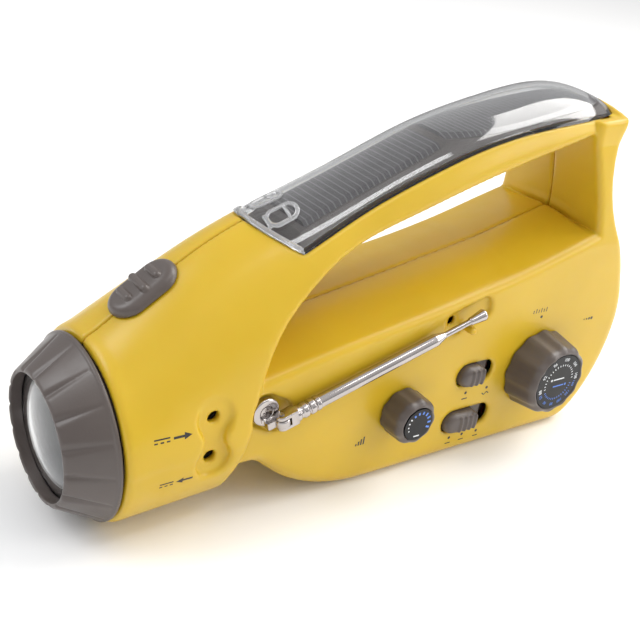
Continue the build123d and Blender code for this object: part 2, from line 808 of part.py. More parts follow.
with BuildPart() as antenna_screw:
    add(turned(screw_seat, rod(2.2, 0.05, 1.4), rod(1.0, -5.0, 0.2)))
    with BuildSketch(screw_seat.offset(1.4)):
        Rectangle(3.0, 0.6)
        Rectangle(0.6, 3.0)
    extrude(amount=-0.8, mode=Mode.SUBTRACT)
save(antenna_screw, "antenna_screw")

with BuildPart() as antenna_elbow:
    add(turned(rod_plane, rod(2.7, 4.4, 6.0), rod(2.45, 6.0, 7.4), rod(2.7, 7.4, 9.0),
               rod(2.2, 9.0, 10.0), rod(2.7, 10.0, 11.8), rod(2.2, 11.8, 12.4), rod(2.6, 12.4, 14.0)))
    with BuildSketch(pin_plane.offset(-cheek_half)):
        Circle(2.2)
        with Locations((0, 2.6)):
            Rectangle(4.4, 5.2)
    extrude(amount=2 * cheek_half)
    with BuildSketch(pin_plane.offset(-ear_half - 0.1)):
        Circle(3.1)
        with Locations((0, -3)):
            Rectangle(9, 6)
    extrude(amount=2 * ear_half + 0.2, mode=Mode.SUBTRACT)
    with BuildSketch(pin_plane.offset(-5)):
        Circle(pin_radius)
    extrude(amount=10, mode=Mode.SUBTRACT)
save(antenna_elbow, "antenna_elbow")

with BuildPart() as antenna_pin:
    add(turned(pin_plane, rod(pin_radius, -cheek_half - 0.2, cheek_half + 0.2)))
save(antenna_pin, "antenna_pin")

# sections from the outside in: radius, bore, end beyond the elbow
section_sizes = [(2.25, 1.95, tube_end), (1.90, 1.55, tube_end + 1.5), (1.50, 1.15, tube_end + 3.0)]
for number, (radius, bore, end) in enumerate(section_sizes):
    with BuildPart() as antenna_tube:
        start = tube_start + 1.5 * number
        add(turned(rod_plane, [(bore, start), (radius, start), (radius, end - 0.5), (bore, end)]))
    save(antenna_tube, f"antenna_tube_{number + 1}")

with BuildPart() as antenna_tip:
    add(turned(rod_plane, [
        (0, tube_start + 5), (1.1, tube_start + 5), (1.1, 78.6), (1.5, 79.2), (1.5, 80.0),
        (2.2, 85.0), (2.0, 85.6), (0, 85.6)]))
save(antenna_tip, "antenna_tip")

# ---------------------------------------------------------------- dynamo and crank
pinion_layer, wheel_layer = (19.4, 22.8), (14.8, 18.2)  # Y of the two gear layers
plate_y = (11.6, 13.2)
idler_distance = gear_module * (crank_teeth + idler_pinion_teeth) / 2
rotor_distance = gear_module * (idler_teeth + rotor_teeth) / 2
idler_bearing, rotor_bearing = 170, 212  # directions from the gear before, degrees
idler_centre = (crank_centre[0] + idler_distance * cos(radians(idler_bearing)),
                crank_centre[1] + idler_distance * sin(radians(idler_bearing)))
rotor_centre = (idler_centre[0] + rotor_distance * cos(radians(rotor_bearing)),
                idler_centre[1] + rotor_distance * sin(radians(rotor_bearing)))


def gear(centre, teeth, layer, first_tooth, bore):
    """A spur gear with straight-flanked teeth; first_tooth is the direction of one tooth."""
    pitch_radius = gear_module * teeth / 2
    tooth = 2 * pi / teeth
    levels = ((-1.15, 0.29), (0.0, 0.21), (0.85, 0.11))  # height, and half width in pitches
    points = []
    for number in range(teeth):
        middle = radians(first_tooth) + number * tooth
        for side, ordered in ((-1, levels), (1, levels[::-1])):
            for height, half_width in ordered:
                radius = pitch_radius + height * gear_module
                angle = middle + side * half_width * tooth * pitch_radius / radius
                points.append((radius * cos(angle), radius * sin(angle)))
    plane = panel_plane(centre, layer[0])
    with BuildPart() as wheel:
        with BuildSketch(plane):
            with BuildLine():
                Polyline(*points, close=True)
            make_face()
            if bore:
                Circle(bore, mode=Mode.SUBTRACT)
        extrude(amount=layer[0] - layer[1])
    return wheel.part


# a tooth of each driver points at the next gear, which has a gap there
idler_gap = idler_bearing + 180 + 180 / idler_pinion_teeth
rotor_gap = rotor_bearing + 180 + 180 / rotor_teeth

with BuildPart() as crank_gear:
    add(gear(crank_centre, crank_teeth, pinion_layer, idler_bearing, 3.0))
save(crank_gear, "crank_gear")

with BuildPart() as idler_gear:
    add(gear(idler_centre, idler_pinion_teeth, (18.2, pinion_layer[1]), idler_gap, 1.5 + fit))
    add(gear(idler_centre, idler_teeth, wheel_layer, rotor_bearing, 1.5 + fit))
save(idler_gear, "idler_gear")

with BuildPart() as rotor_pinion:
    add(gear(rotor_centre, rotor_teeth, wheel_layer, rotor_gap, 1.5))
save(rotor_pinion, "rotor_pinion")

with BuildPart() as dynamo_rotor:
    rotor_plane = crank_plane(rotor_centre, 0)
    add(turned(rotor_plane, rod(8.6, -1.5, 8.5), rod(1.5, 8.5, wheel_layer[1])))
save(dynamo_rotor, "dynamo_rotor")

with BuildPart() as dynamo_stator:
    add(turned(rotor_plane, [
        (9.2, -2.4), (9.2, 9.6), (1.5 + fit, 9.6), (1.5 + fit, 11.4), (12.6, 11.4),
        (12.6, -4.0), (0, -4.0), (0, -2.4)]))
save(dynamo_stator, "dynamo_stator")

with BuildPart() as idler_axle:
    add(turned(crank_plane(idler_centre, 0), rod(1.5, plate_y[0] + 0.1, 25.0)))
save(idler_axle, "idler_axle")

with BuildPart() as gearbox_plate:
    with BuildSketch(Plane.XZ.offset(-plate_y[0])):
        with Locations((42, 33)):
            RectangleRounded(62, 34, 4)
    extrude(amount=plate_y[0] - plate_y[1])
    for centre, radius in ((crank_centre, 3.0 + fit), (idler_centre, 1.5), (rotor_centre, 2.2)):
        add(turned(crank_plane(centre, 10), rod(radius, 0, 6)), mode=Mode.SUBTRACT)
save(gearbox_plate, "gearbox_plate")

arm_inner, arm_outer = panel_half_width + 2.0, panel_half_width + 7.8
knob_y = panel_half_width + 5.1
pivot_x = crank_centre[0] - crank_arm_length
knob_radius, knob_pin_radius = 4.6, 1.5
slot_length = 34.0

with BuildPart() as crank_arm:
    arm_plane = crank_plane(crank_centre, arm_inner)
    with BuildSketch(arm_plane):
        with Locations((-crank_arm_length / 2, 0)):
            SlotCenterToCenter(crank_arm_length, crank_arm_width)
    extrude(amount=arm_outer - arm_inner)
    fillet(crank_arm.faces().sort_by(Axis.Y)[-1].edges(), 1.2)
    add(turned(arm_plane, rod(11.0, -1.6, arm_outer - arm_inner)))
    with BuildSketch(arm_plane.offset(-3)):
        with Locations((-crank_arm_length + slot_length / 2 - 4.6, 0)):
            Rectangle(slot_length, 2 * knob_radius + 1.2)
    extrude(amount=14, mode=Mode.SUBTRACT)
    add(turned(arm_plane, rod(3.0, -5, arm_outer - arm_inner - 1.5)), mode=Mode.SUBTRACT)
    with BuildSketch(Plane.XY.offset(crank_centre[1] - 10)):
        with Locations((pivot_x, knob_y)):
            Circle(1.0)
    extrude(amount=20, mode=Mode.SUBTRACT)
save(crank_arm, "crank_arm")

with BuildPart() as crank_shaft:
    add(turned(crank_plane(crank_centre, 0), rod(3.0, plate_y[0], arm_outer - 1.5)))
save(crank_shaft, "crank_shaft")

with BuildPart() as crank_hinge_pin:
    with BuildSketch(Plane.XY.offset(crank_centre[1] - crank_arm_width / 2 + 0.6)):
        with Locations((pivot_x, knob_y)):
            Circle(1.0)
    extrude(amount=crank_arm_width - 1.2)
save(crank_hinge_pin, "crank_hinge_pin")

knob_plane = Plane(origin=(pivot_x, knob_y, crank_centre[1]), x_dir=(0, 1, 0), z_dir=(1, 0, 0))
with BuildPart() as crank_knob_pivot:
    with BuildSketch(Plane.XY.offset(crank_centre[1] - 4.4)):
        with Locations((pivot_x, knob_y)):
            Circle(3.2)
            with Locations((1.8, 0)):
                Rectangle(3.6, 6.0)
    extrude(amount=8.8)
    add(turned(knob_plane, rod(knob_pin_radius, 3.0, 24.4)))
    with BuildSketch(Plane.XY.offset(crank_centre[1] - 6)):
        with Locations((pivot_x, knob_y)):
            Circle(1.0 + fit)
    extrude(amount=12, mode=Mode.SUBTRACT)
save(crank_knob_pivot, "crank_knob_pivot")

with BuildPart() as crank_knob:
    bore = knob_pin_radius + fit
    add(turned(knob_plane, [
        (bore, 4.0), (3.8, 4.0), (knob_radius, 5.0), (knob_radius, 23.6), (3.8, 25.4), (0, 25.4),
        (0, 24.6), (bore, 24.6)]))
save(crank_knob, "crank_knob")
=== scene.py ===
import json
from math import cos, radians, sin, sqrt

import bmesh
import bpy
import numpy as np
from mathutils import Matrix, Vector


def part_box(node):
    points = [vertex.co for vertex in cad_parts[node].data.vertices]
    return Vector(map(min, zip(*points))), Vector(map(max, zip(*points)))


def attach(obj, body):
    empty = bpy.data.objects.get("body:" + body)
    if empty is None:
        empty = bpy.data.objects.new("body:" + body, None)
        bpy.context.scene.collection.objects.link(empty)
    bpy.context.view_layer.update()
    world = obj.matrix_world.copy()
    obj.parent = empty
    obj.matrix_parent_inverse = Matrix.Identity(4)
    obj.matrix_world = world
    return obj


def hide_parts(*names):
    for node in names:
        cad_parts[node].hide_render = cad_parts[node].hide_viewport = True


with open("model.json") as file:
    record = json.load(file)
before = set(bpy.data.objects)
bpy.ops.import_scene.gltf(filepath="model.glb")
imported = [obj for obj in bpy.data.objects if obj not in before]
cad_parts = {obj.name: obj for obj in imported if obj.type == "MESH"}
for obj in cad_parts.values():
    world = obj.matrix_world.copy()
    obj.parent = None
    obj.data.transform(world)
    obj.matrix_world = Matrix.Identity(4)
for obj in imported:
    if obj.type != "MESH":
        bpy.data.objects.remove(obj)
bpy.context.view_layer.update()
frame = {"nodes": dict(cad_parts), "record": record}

import openvdb
from mathutils import Matrix, Vector

# An emergency radio with a torch. Lengths inside the shape functions are in millimetres, in the
# frame's axes: +X from the lamp to the tail, +Z up, the control panel faces -Y.
MM = 0.001
CELL = 0.96  # of the grid that the housing is made on


def middle(node):
    """Centre of a CAD node's box, in millimetres."""
    low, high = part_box(node)
    return (low + high) / (2 * MM)


def extent(node):
    """Lowest and highest corner of a CAD node's box, in millimetres."""
    low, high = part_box(node)
    return low / MM, high / MM


# ---------------------------------------------------------------- shapes as distance fields
def smooth_min(a, b, blend):
    """The smaller of two distances, rounded off where they differ by less than blend."""
    near = np.maximum(blend - np.abs(a - b), 0) / blend
    return np.minimum(a, b) - near * near * blend / 4


def smooth_max(a, b, blend):
    """The larger of two distances, rounded off in the same way."""
    return -smooth_min(-a, -b, blend)


def cut(solid, tool, edge=0.5):
    """solid without tool, with edges rounded a little."""
    return smooth_max(solid, -tool, edge)


def ramp(value, low, high):
    """0 below low, 1 above high, and smooth in between."""
    t = np.clip((value - low) / (high - low), 0, 1)
    return t * t * (3 - 2 * t)


def spline(points, ends=None, steps=12):
    """Points along the smooth curve through the given ones; ends are its directions there."""
    p = np.array(points, float)
    n = len(p)
    chord = np.linalg.norm(np.diff(p, axis=0), axis=1)
    m = np.zeros((n, n))
    r = np.zeros((n, p.shape[1]))
    for i in range(1, n - 1):
        m[i, i - 1 : i + 2] = chord[i], 2 * (chord[i - 1] + chord[i]), chord[i - 1]
        r[i] = 3 * (chord[i - 1] * (p[i + 1] - p[i]) / chord[i] + chord[i] * (p[i] - p[i - 1]) / chord[i - 1])
    m[0, 0], m[-1, -1] = 1, 1
    if ends is None:
        m[0, :2], r[0] = (2, 1), 3 * (p[1] - p[0]) / chord[0]
        m[-1, -2:], r[-1] = (1, 2), 3 * (p[-1] - p[-2]) / chord[-1]
    else:
        r[0], r[-1] = (np.array(e, float) / np.linalg.norm(e) for e in ends)
    slope = np.linalg.solve(m, r)
    t = np.linspace(0, 1, steps, endpoint=False)[:, None]
    out = []
    for i in range(n - 1):
        a, b = slope[i] * chord[i], slope[i + 1] * chord[i]
        out.append((2 * t**3 - 3 * t**2 + 1) * p[i] + (t**3 - 2 * t**2 + t) * a
                   + (3 * t**2 - 2 * t**3) * p[i + 1] + (t**3 - t**2) * b)
    return np.vstack(out + [p[-1:]])


def outline_distance(points, u, v):
    """Signed distance from a closed outline, negative inside."""
    p = np.array(points, float)
    best = np.full(np.broadcast(u, v).shape, 1e9)
    inside = np.zeros(best.shape, bool)
    for a, b in zip(p, np.roll(p, -1, axis=0)):
        d = b - a
        length2 = d @ d
        if length2 < 1e-12:
            continue
        t = np.clip(((u - a[0]) * d[0] + (v - a[1]) * d[1]) / length2, 0, 1)
        best = np.minimum(best, (u - a[0] - t * d[0]) ** 2 + (v - a[1] - t * d[1]) ** 2)
        if d[1]:
            inside ^= ((a[1] > v) != (b[1] > v)) & (u < a[0] + (v - a[1]) * d[0] / d[1])
    return np.where(inside, -1, 1) * np.sqrt(best)


def polygonise(field, low, high, cell):
    """The field's zero surface as points and quads; the field is a function of x, y and z."""
    axes = [np.arange(a, b + cell, cell, dtype=np.float32) for a, b in zip(low, high)]
    x, y, z = np.meshgrid(*axes, indexing="ij", sparse=True)
    values = np.ascontiguousarray(np.broadcast_to(field(x, y, z), [len(a) for a in axes]), np.float32)
    band = 3 * cell
    values = np.clip(values, -band, band)
    grid = openvdb.FloatGrid(band)
    grid.copyFromArray(values)
    points, quads = grid.convertToQuads(isovalue=0.0)
    points = points.astype(np.float64)
    for _ in range(3):  # onto the surface itself
        base = np.clip(np.floor(points).astype(int), 0, np.array(values.shape) - 2)
        f = np.clip(points - base, 0, 1)
        corner = {}
        for key in np.ndindex(2, 2, 2):
            corner[key] = values[base[:, 0] + key[0], base[:, 1] + key[1], base[:, 2] + key[2]]
        value = np.zeros(len(points))
        slope = np.zeros((len(points), 3))
        for key, v in corner.items():
            w = [f[:, i] if key[i] else 1 - f[:, i] for i in range(3)]
            value += v * w[0] * w[1] * w[2]
            for i in range(3):
                others = [w[j] for j in range(3) if j != i]
                slope[:, i] += (1 if key[i] else -1) * v * others[0] * others[1]
        norm2 = np.maximum((slope**2).sum(1), 1e-4 * cell * cell)
        step = slope * (value / norm2)[:, None]
        length = np.linalg.norm(step, axis=1)
        step *= np.minimum(1, 0.5 / np.maximum(length, 1e-9))[:, None]
        points -= step
    return points * cell + np.array(low, float), quads


def placed(name, data):
    """A new object in the scene."""
    thing = bpy.data.objects.new(name, data)
    bpy.context.scene.collection.objects.link(thing)
    return thing


def finish_piece(name, mesh, body, slot, material, *nodes):
    """Puts a mesh in the scene, shades it, and hangs it on its body in place of CAD nodes."""
    piece = placed(name, mesh)
    mesh.materials.append(material)
    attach(piece, body)
    if nodes:
        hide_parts(*nodes)


def mesh_of(name, points, faces, smooth=True):
    """A mesh in metres from points in millimetres."""
    mesh = bpy.data.meshes.new(name)
    mesh.vertices.add(len(points))
    mesh.vertices.foreach_set("co", (np.asarray(points, float) * MM).ravel())
    sizes = np.array([len(f) for f in faces], np.int32)
    mesh.loops.add(int(sizes.sum()))
    mesh.loops.foreach_set("vertex_index", np.concatenate([np.asarray(f, np.int32) for f in faces]))
    mesh.polygons.add(len(faces))
    mesh.polygons.foreach_set("loop_start", np.concatenate([[0], np.cumsum(sizes)[:-1]]).astype(np.int32))
    mesh.polygons.foreach_set("use_smooth", np.full(len(faces), smooth))
    mesh.update(calc_edges=True)
    mesh.validate()
    return mesh


def moulded(name, field, low, high, cell, body, slot, material, *nodes):
    """A piece made from a distance field."""
    points, quads = polygonise(field, low, high, cell)
    finish_piece(name, mesh_of(name, points, quads), body, slot, material, *nodes)


# ---------------------------------------------------------------- the housing's form
WALL = 2.2
PANEL = 27.8  # from the joint plane to the control panel
BARREL_RADIUS, MOUTH_RADIUS = 31.4, 28.0
STRUT_HALF = 21.5
LAMP_TILT = radians(3.6)
LAMP = Vector((-104, 0, 31.5))
LAMP_AXIS = Vector((-cos(LAMP_TILT), 0, -sin(LAMP_TILT)))

# X, height of the crown, half width, depth of the widest line under the crown, power of the section
SECTIONS = np.array([
    (-104, 62.9, 31.4, 31.4, 2.0),
    (-85, 76.8, 31.0, 43.5, 2.0),
    (-65, 90.0, 30.4, 56.0, 2.0),
    (-40, 100.8, 27.0, 40.0, 2.0),
    (-15, 110.7, 22.5, 28.0, 2.1),
    (15, 122.8, 20.6, 22.0, 2.3),
    (50, 131.8, 20.5, 20.0, 2.5),
    (78, 135.2, 20.8, 20.0, 2.5),
    (100, 129.6, 21.0, 15.0, 2.5),
])
CREASE = [(-64.4, 20), (-62, 31.5), (-59.8, 42), (-56.2, 56), (-49.8, 69),
          (-42, 77.6), (-27, 88.6), (-2.6, 98), (26, 107.2), (62, 117.2), (96, 125.6)]
SEAT = [(-42, 89.4), (-22, 98.9), (2.6, 109.4), (25, 117.5), (60, 124.8), (94.5, 127.9)]

hood_edge = np.vstack([spline(CREASE), [(97, 150), (-110, 150), (-101.3, -10), (-64, -10)]])
chin = spline([(-57, 20.6), (-50, 17), (-40.4, 9.5), (-28, 3.6), (-6, 0)], ((1, 0), (1, 0)))
tail = spline([(94, 0), (112.5, 12), (120.6, 38), (113, 67), (98.8, 91), (94.6, 110), (97, 124)],
              ((1, 0), (0.4, 1)))
floor_line = spline([(90, 84.8), (51.5, 73.4), (14, 65.6), (-30, 58.2), (-66, 50)])
strut = spline([(81, 121), (84.2, 110), (87.6, 98), (90, 84.8)])
body_edge = np.vstack([[(-66, 50), (-66, 20.6)], chin, tail, [(97, 136), (80, 136)], strut[:-1], floor_line])
seat_edge = np.vstack([spline(SEAT), [(94.5, 145), (-52, 145), (-54, 95.2)]])

section_curve = spline(SECTIONS)
crown_slope = np.gradient(section_curve[:, 1], section_curve[:, 0])


def section_at(x, column):
    """A dimension of the hood's and handle's section at x."""
    return np.interp(x, section_curve[:, 0], section_curve[:, column]).astype(np.float32)


def canopy(x, y, z):
    """Distance from the domed form of hood and handle, above its widest line."""
    crown, half, depth, power = (section_at(x, column) for column in (1, 2, 3, 4))
    level = crown - depth
    u = np.maximum(z - level, 0) / depth
    v = np.abs(y) / half
    q = v * v + u**power
    slope_x = np.interp(x, section_curve[:, 0], crown_slope)
    dz = power * u ** (power - 1) / depth
    gradient = np.sqrt((2 * v / half) ** 2 + dz**2 * (1 + slope_x**2))
    return (q - 1) / np.maximum(gradient, 0.012)


def barrel_coordinates(x, y, z):
    """Distance from the lamp's axis, and distance in front of the barrel."""
    along = (x - LAMP.x) * LAMP_AXIS.x + (z - LAMP.z) * LAMP_AXIS.z
    across = (x - LAMP.x) * -LAMP_AXIS.z + (z - LAMP.z) * LAMP_AXIS.x
    return np.sqrt(across**2 + y**2), along


def hood(x, y, z):
    """The lamp's barrel, the hood behind it and the handle that runs on from it."""
    level = section_at(x, 1) - section_at(x, 3)
    dome = np.maximum(canopy(x, y, z), level - z)
    radius, ahead = barrel_coordinates(x, y, z)
    barrel = np.maximum(radius - BARREL_RADIUS, -46 - ahead)
    form = smooth_min(dome, barrel, 2.0)
    return smooth_max(form, outline_distance(hood_edge, x, z), 2.2)


def rear_body(x, y, z):
    """The flat-sided body behind the hood, with its chin, tail and strut."""
    side = PANEL - (PANEL - STRUT_HALF) * np.clip((z - 80) / 38, 0, 1)
    rounding = 2.6 + 3.4 * (1 - ramp(z, 25, 60)) + 3.4 * ramp(x, 95, 115) * (1 - ramp(z, 60, 85))
    a = np.maximum(outline_distance(body_edge, x, z) + rounding, 0)
    b = np.maximum(np.abs(y) - side + rounding, 0)
    inner = np.maximum(outline_distance(body_edge, x, z), np.abs(y) - side)
    body = np.where((a > 0) | (b > 0), np.sqrt(a * a + b * b) - rounding, inner)
    top = z - 127.4 - 3.4 * (1 - (y / STRUT_HALF) ** 2)
    return smooth_max(body, top, 1.2)


def arched_floor(x, y, z):
    """The arched top of the body, under the hand opening."""
    edge = np.interp(x, (-62, 10, 52, 90), (50.6, 64.7, 73.3, 83.9))
    half = PANEL - 2.6
    top = (z - edge - 4.4 * (1 - (y / half) ** 2)) * 0.97
    sides = np.maximum(np.maximum(np.abs(y) - half, edge - 6 - z), np.maximum(x - 88, -62 - x))
    return smooth_max(top, sides, 2.0)


def disc(x, z, centre, radius):
    """Distance from a circle."""
    return np.sqrt((x - centre[0]) ** 2 + (z - centre[1]) ** 2) - radius


def inclined(x, z, origin, turn):
    """Coordinates along and across a direction that is turned up from X by an angle."""
    c, s = cos(turn), sin(turn)
    return (x - origin[0]) * c + (z - origin[1]) * s, -(x - origin[0]) * s + (z - origin[1]) * c


def bar(x, z, centre, size, radius, turn=0.0):
    """Distance from a rectangle with round corners, turned up by an angle."""
    along, across = inclined(x, z, centre, turn)
    u = np.abs(along) - size[0] / 2 + radius
    v = np.abs(across) - size[1] / 2 + radius
    return np.sqrt(np.maximum(u, 0) ** 2 + np.maximum(v, 0) ** 2) + np.minimum(np.maximum(u, v), 0) - radius


def capsule(x, z, a, b, radius):
    """Distance from a bar with round ends from a to b."""
    d = (b[0] - a[0], b[1] - a[1])
    t = np.clip(((x - a[0]) * d[0] + (z - a[1]) * d[1]) / (d[0] ** 2 + d[1] ** 2), 0, 1)
    return np.sqrt((x - a[0] - t * d[0]) ** 2 + (z - a[1] - t * d[1]) ** 2) - radius


def between(outside, low, high):
    """A slab of distances from the joint plane, outside being that distance."""
    return np.maximum(low - outside, outside - high)


SWITCH_PLACE, SWITCH_SLOPE = (-86.5, 76.0), radians(35.5)
SWIVEL = (-55.0, 41.4)
ELBOW = (-50.3, 38.8)
ANTENNA_SLOPE = radians(16.4)
SCREWS = [(-50, 30), (106, 24), (98, 64), (-6, 54), (-70, 72)]
JACKS = [tuple(middle(n))[::2] for n in ("charge_out_jack", "charge_in_jack")]
TUNING = tuple(middle("tuning_dial"))[::2]
VOLUME = tuple(middle("volume_dial"))[::2]
BAND_SLOT, BAND_SLOT_SIZE = (39.1, 35.5), (18.4, 9.4)
FUNCTION_SLOT, FUNCTION_SLOT_SIZE = (39.9, 15.6), (24.0, 9.4)
TIP_POCKET = (28.6, 61.0)
REST_HOOK = (27.0, 57.5)
SPEAKER = tuple(middle("speaker_frame"))[::2]
CRANK = tuple(middle("crank_shaft"))[::2]
# distances from the joint plane: where a hole has passed the wall, the floors of the socket recess and
# of the antenna's recess and tip pocket, and the rear faces of the thicker walls behind them
THROUGH, SOCKET_FLOOR, ANTENNA_FLOOR, SOCKET_PAD, ANTENNA_PAD = 20, 28.6, 25.9, 25.6, 24.0
JOINT_GAP, JOINT_ROUNDING = 0.02, 0.9
GRILLE_RADIUS, GRILLE_PITCH, GRILLE_SLOT = 16.5, 4.6, 2.2


def housing(x, y, z):
    """The whole housing as one hollow form, with what both halves share."""
    outside = smooth_min(smooth_min(hood(x, y, z), rear_body(x, y, z), 0.5), arched_floor(x, y, z), 2.6)
    shell = np.maximum(outside, -(outside + WALL))
    bosses = np.minimum.reduce([disc(x, z, place, 3.6) for place in SCREWS])
    shell = np.minimum(shell, np.maximum(outside, bosses))
    shell = cut(shell, outline_distance(seat_edge, x, z), 0.4)
    radius, ahead = barrel_coordinates(x, y, z)
    shell = cut(shell, np.maximum(radius - MOUTH_RADIUS, -6 - ahead), 0.8)
    low, high = extent("battery_door")
    centre = ((low.x + high.x) / 2, 0.0)
    opening = bar(x, y, centre, (high.x - low.x + 0.6, high.y - low.y + 0.6), 3.3)
    shell = cut(shell, np.maximum(opening, z - 5), 0.3)
    u, w = inclined(x, z, SWITCH_PLACE, SWITCH_SLOPE)
    slot = np.sqrt(np.maximum(np.abs(u) - 4, 0) ** 2 + y**2) - 2.5
    shell = cut(shell, np.maximum(slot, np.abs(w) - 8), 0.3)
    return shell, outside


def near_half(x, y, z):
    """The half with the control panel, the sockets and the antenna's recess."""
    shell, outside = housing(x, y, z)
    out = -y
    jack_pad = np.minimum.reduce([capsule(x, z, *JACKS, 6.4)] + [disc(x, z, place, 8.2) for place in JACKS])
    shell = np.minimum(shell, np.maximum(outside, np.maximum(jack_pad, SOCKET_PAD - out)))
    rod_pad = np.minimum(disc(x, z, SWIVEL, 8.5), disc(x, z, ELBOW, 8.5))
    rod_pad = np.minimum(rod_pad, bar(x, z, (28, 60), (26, 13), 2, ANTENNA_SLOPE))
    shell = np.minimum(shell, np.maximum(outside, np.maximum(rod_pad, ANTENNA_PAD - out)))
    recess = smooth_min(smooth_min(disc(x, z, JACKS[0], 6.0), disc(x, z, JACKS[1], 6.0), 3.0),
                        capsule(x, z, *JACKS, 3.6), 2.0)
    shell = cut(shell, np.maximum(recess, SOCKET_FLOOR - out), 1.6)
    for place in JACKS:
        shell = cut(shell, np.maximum(disc(x, z, place, 2.1), THROUGH - out), 0.5)
    recess = smooth_min(disc(x, z, SWIVEL, 6.0), disc(x, z, ELBOW, 6.0), 2.0)
    shell = cut(shell, np.maximum(recess, ANTENNA_FLOOR - out), 1.0)
    pocket = bar(x, z, TIP_POCKET, (21, 8.4), 3, ANTENNA_SLOPE)
    shell = cut(shell, np.maximum(pocket, ANTENNA_FLOOR - out), 1.2)
    holes = [
        disc(x, z, SWIVEL, 3.3), disc(x, z, VOLUME, 4.0), disc(x, z, TUNING, 4.5),
        bar(x, z, BAND_SLOT, BAND_SLOT_SIZE, BAND_SLOT_SIZE[1] / 2),
        bar(x, z, FUNCTION_SLOT, FUNCTION_SLOT_SIZE, FUNCTION_SLOT_SIZE[1] / 2),
        bar(x, z, (21.9, 59.6), (3, 3), 0.3),  # the mould's opening beside the rest hook
    ]
    shell = cut(shell, np.maximum(np.minimum.reduce(holes), THROUGH - out), 0.6)
    hook = np.maximum(bar(x, z, REST_HOOK, (3.2, 2.4), 0.9), between(out, 24.5, 33.0))
    shell = smooth_min(shell, hook, 0.8)
    return smooth_max(shell, y + JOINT_GAP, JOINT_ROUNDING)


def far_half(x, y, z):
    """The half with the speaker's grille, the crank's bearing and the screws."""
    shell, outside = housing(x, y, z)
    for place in SCREWS:
        shell = cut(shell, np.maximum(disc(x, z, place, 2.9), 17 - y), 0.4)
    pad = np.maximum(disc(x, z, CRANK, 7), 24.2 - y)
    shell = np.minimum(shell, np.maximum(outside, pad))
    rows = []
    for row in range(-3, 4):
        half = sqrt(GRILLE_RADIUS**2 - (GRILLE_PITCH * row) ** 2)
        size = (2 * half + GRILLE_SLOT, GRILLE_SLOT)
        rows.append(bar(x, z, (SPEAKER[0], SPEAKER[1] + GRILLE_PITCH * row), size, GRILLE_SLOT / 2))
    shell = cut(shell, np.maximum(np.minimum.reduce(rows), 24 - y), 0.5)
    shell = cut(shell, np.maximum(disc(x, z, CRANK, 3.05), THROUGH - y), 0.3)
    return smooth_max(shell, JOINT_GAP - y, JOINT_ROUNDING)


# ---------------------------------------------------------------- materials
def shader(name, colour, roughness, **inputs):
    """A Principled material and the nodes that its detail hangs on."""
    material = bpy.data.materials.new(name)
    material.use_nodes = True
    tree = material.node_tree
    principled = tree.nodes["Principled BSDF"]
    principled.inputs["Base Color"].default_value = (*colour, 1)
    principled.inputs["Roughness"].default_value = roughness
    for key, value in inputs.items():
        principled.inputs[key.replace("_", " ")].default_value = value
    return material, tree, principled


def place_nodes(tree, scale=(1, 1, 1)):
    """Object coordinates, stretched."""
    coordinates = tree.nodes.new("ShaderNodeTexCoord")
    mapping = tree.nodes.new("ShaderNodeMapping")
    mapping.inputs["Scale"].default_value = scale
    tree.links.new(coordinates.outputs["Object"], mapping.inputs["Vector"])
    return mapping.outputs["Vector"]


def noise(tree, vector, scale, detail=3.0, rough=0.55):
    """Noise of a scale in waves per metre."""
    node = tree.nodes.new("ShaderNodeTexNoise")
    node.inputs["Scale"].default_value = scale
    node.inputs["Detail"].default_value = detail
    node.inputs["Roughness"].default_value = rough
    tree.links.new(vector, node.inputs["Vector"])
    return node.outputs["Fac"]


def ranged(tree, value, low, high, start=0.0, end=1.0):
    """A value mapped from start..end to low..high."""
    node = tree.nodes.new("ShaderNodeMapRange")
    for key, number in (("From Min", start), ("From Max", end), ("To Min", low), ("To Max", high)):
        node.inputs[key].default_value = number
    tree.links.new(value, node.inputs["Value"])
    return node.outputs["Result"]


def blended(tree, factor, a, b):
    """A colour between a and b by factor."""
    node = tree.nodes.new("ShaderNodeMix")
    node.data_type = "RGBA"
    node.inputs["A"].default_value = (*a, 1)
    node.inputs["B"].default_value = (*b, 1)
    tree.links.new(factor, node.inputs["Factor"])
    return node.outputs["Result"]


def bump(tree, principled, height, distance, strength=1.0):
    """Surface detail of a depth in millimetres."""
    node = tree.nodes.new("ShaderNodeBump")
    node.inputs["Strength"].default_value = strength
    node.inputs["Distance"].default_value = distance * MM
    tree.links.new(height, node.inputs["Height"])
    tree.links.new(node.outputs["Normal"], principled.inputs["Normal"])


def plastic(name, colour, dark, roughness, grain, grain_scale, **inputs):
    """Moulded plastic: slow changes of colour, fine grain, and roughness worn a little uneven."""
    material, tree, principled = shader(name, colour, roughness, **inputs)
    vector = place_nodes(tree)
    tint = ranged(tree, noise(tree, vector, 30, 2), 0, 1, 0.35, 0.65)
    tree.links.new(blended(tree, tint, dark, colour), principled.inputs["Base Color"])
    wear = noise(tree, vector, 140, 4, 0.6)
    tree.links.new(ranged(tree, wear, roughness - 0.06, roughness + 0.07, 0.3, 0.7),
                   principled.inputs["Roughness"])
    bump(tree, principled, noise(tree, vector, grain_scale, 2), grain)
    return material


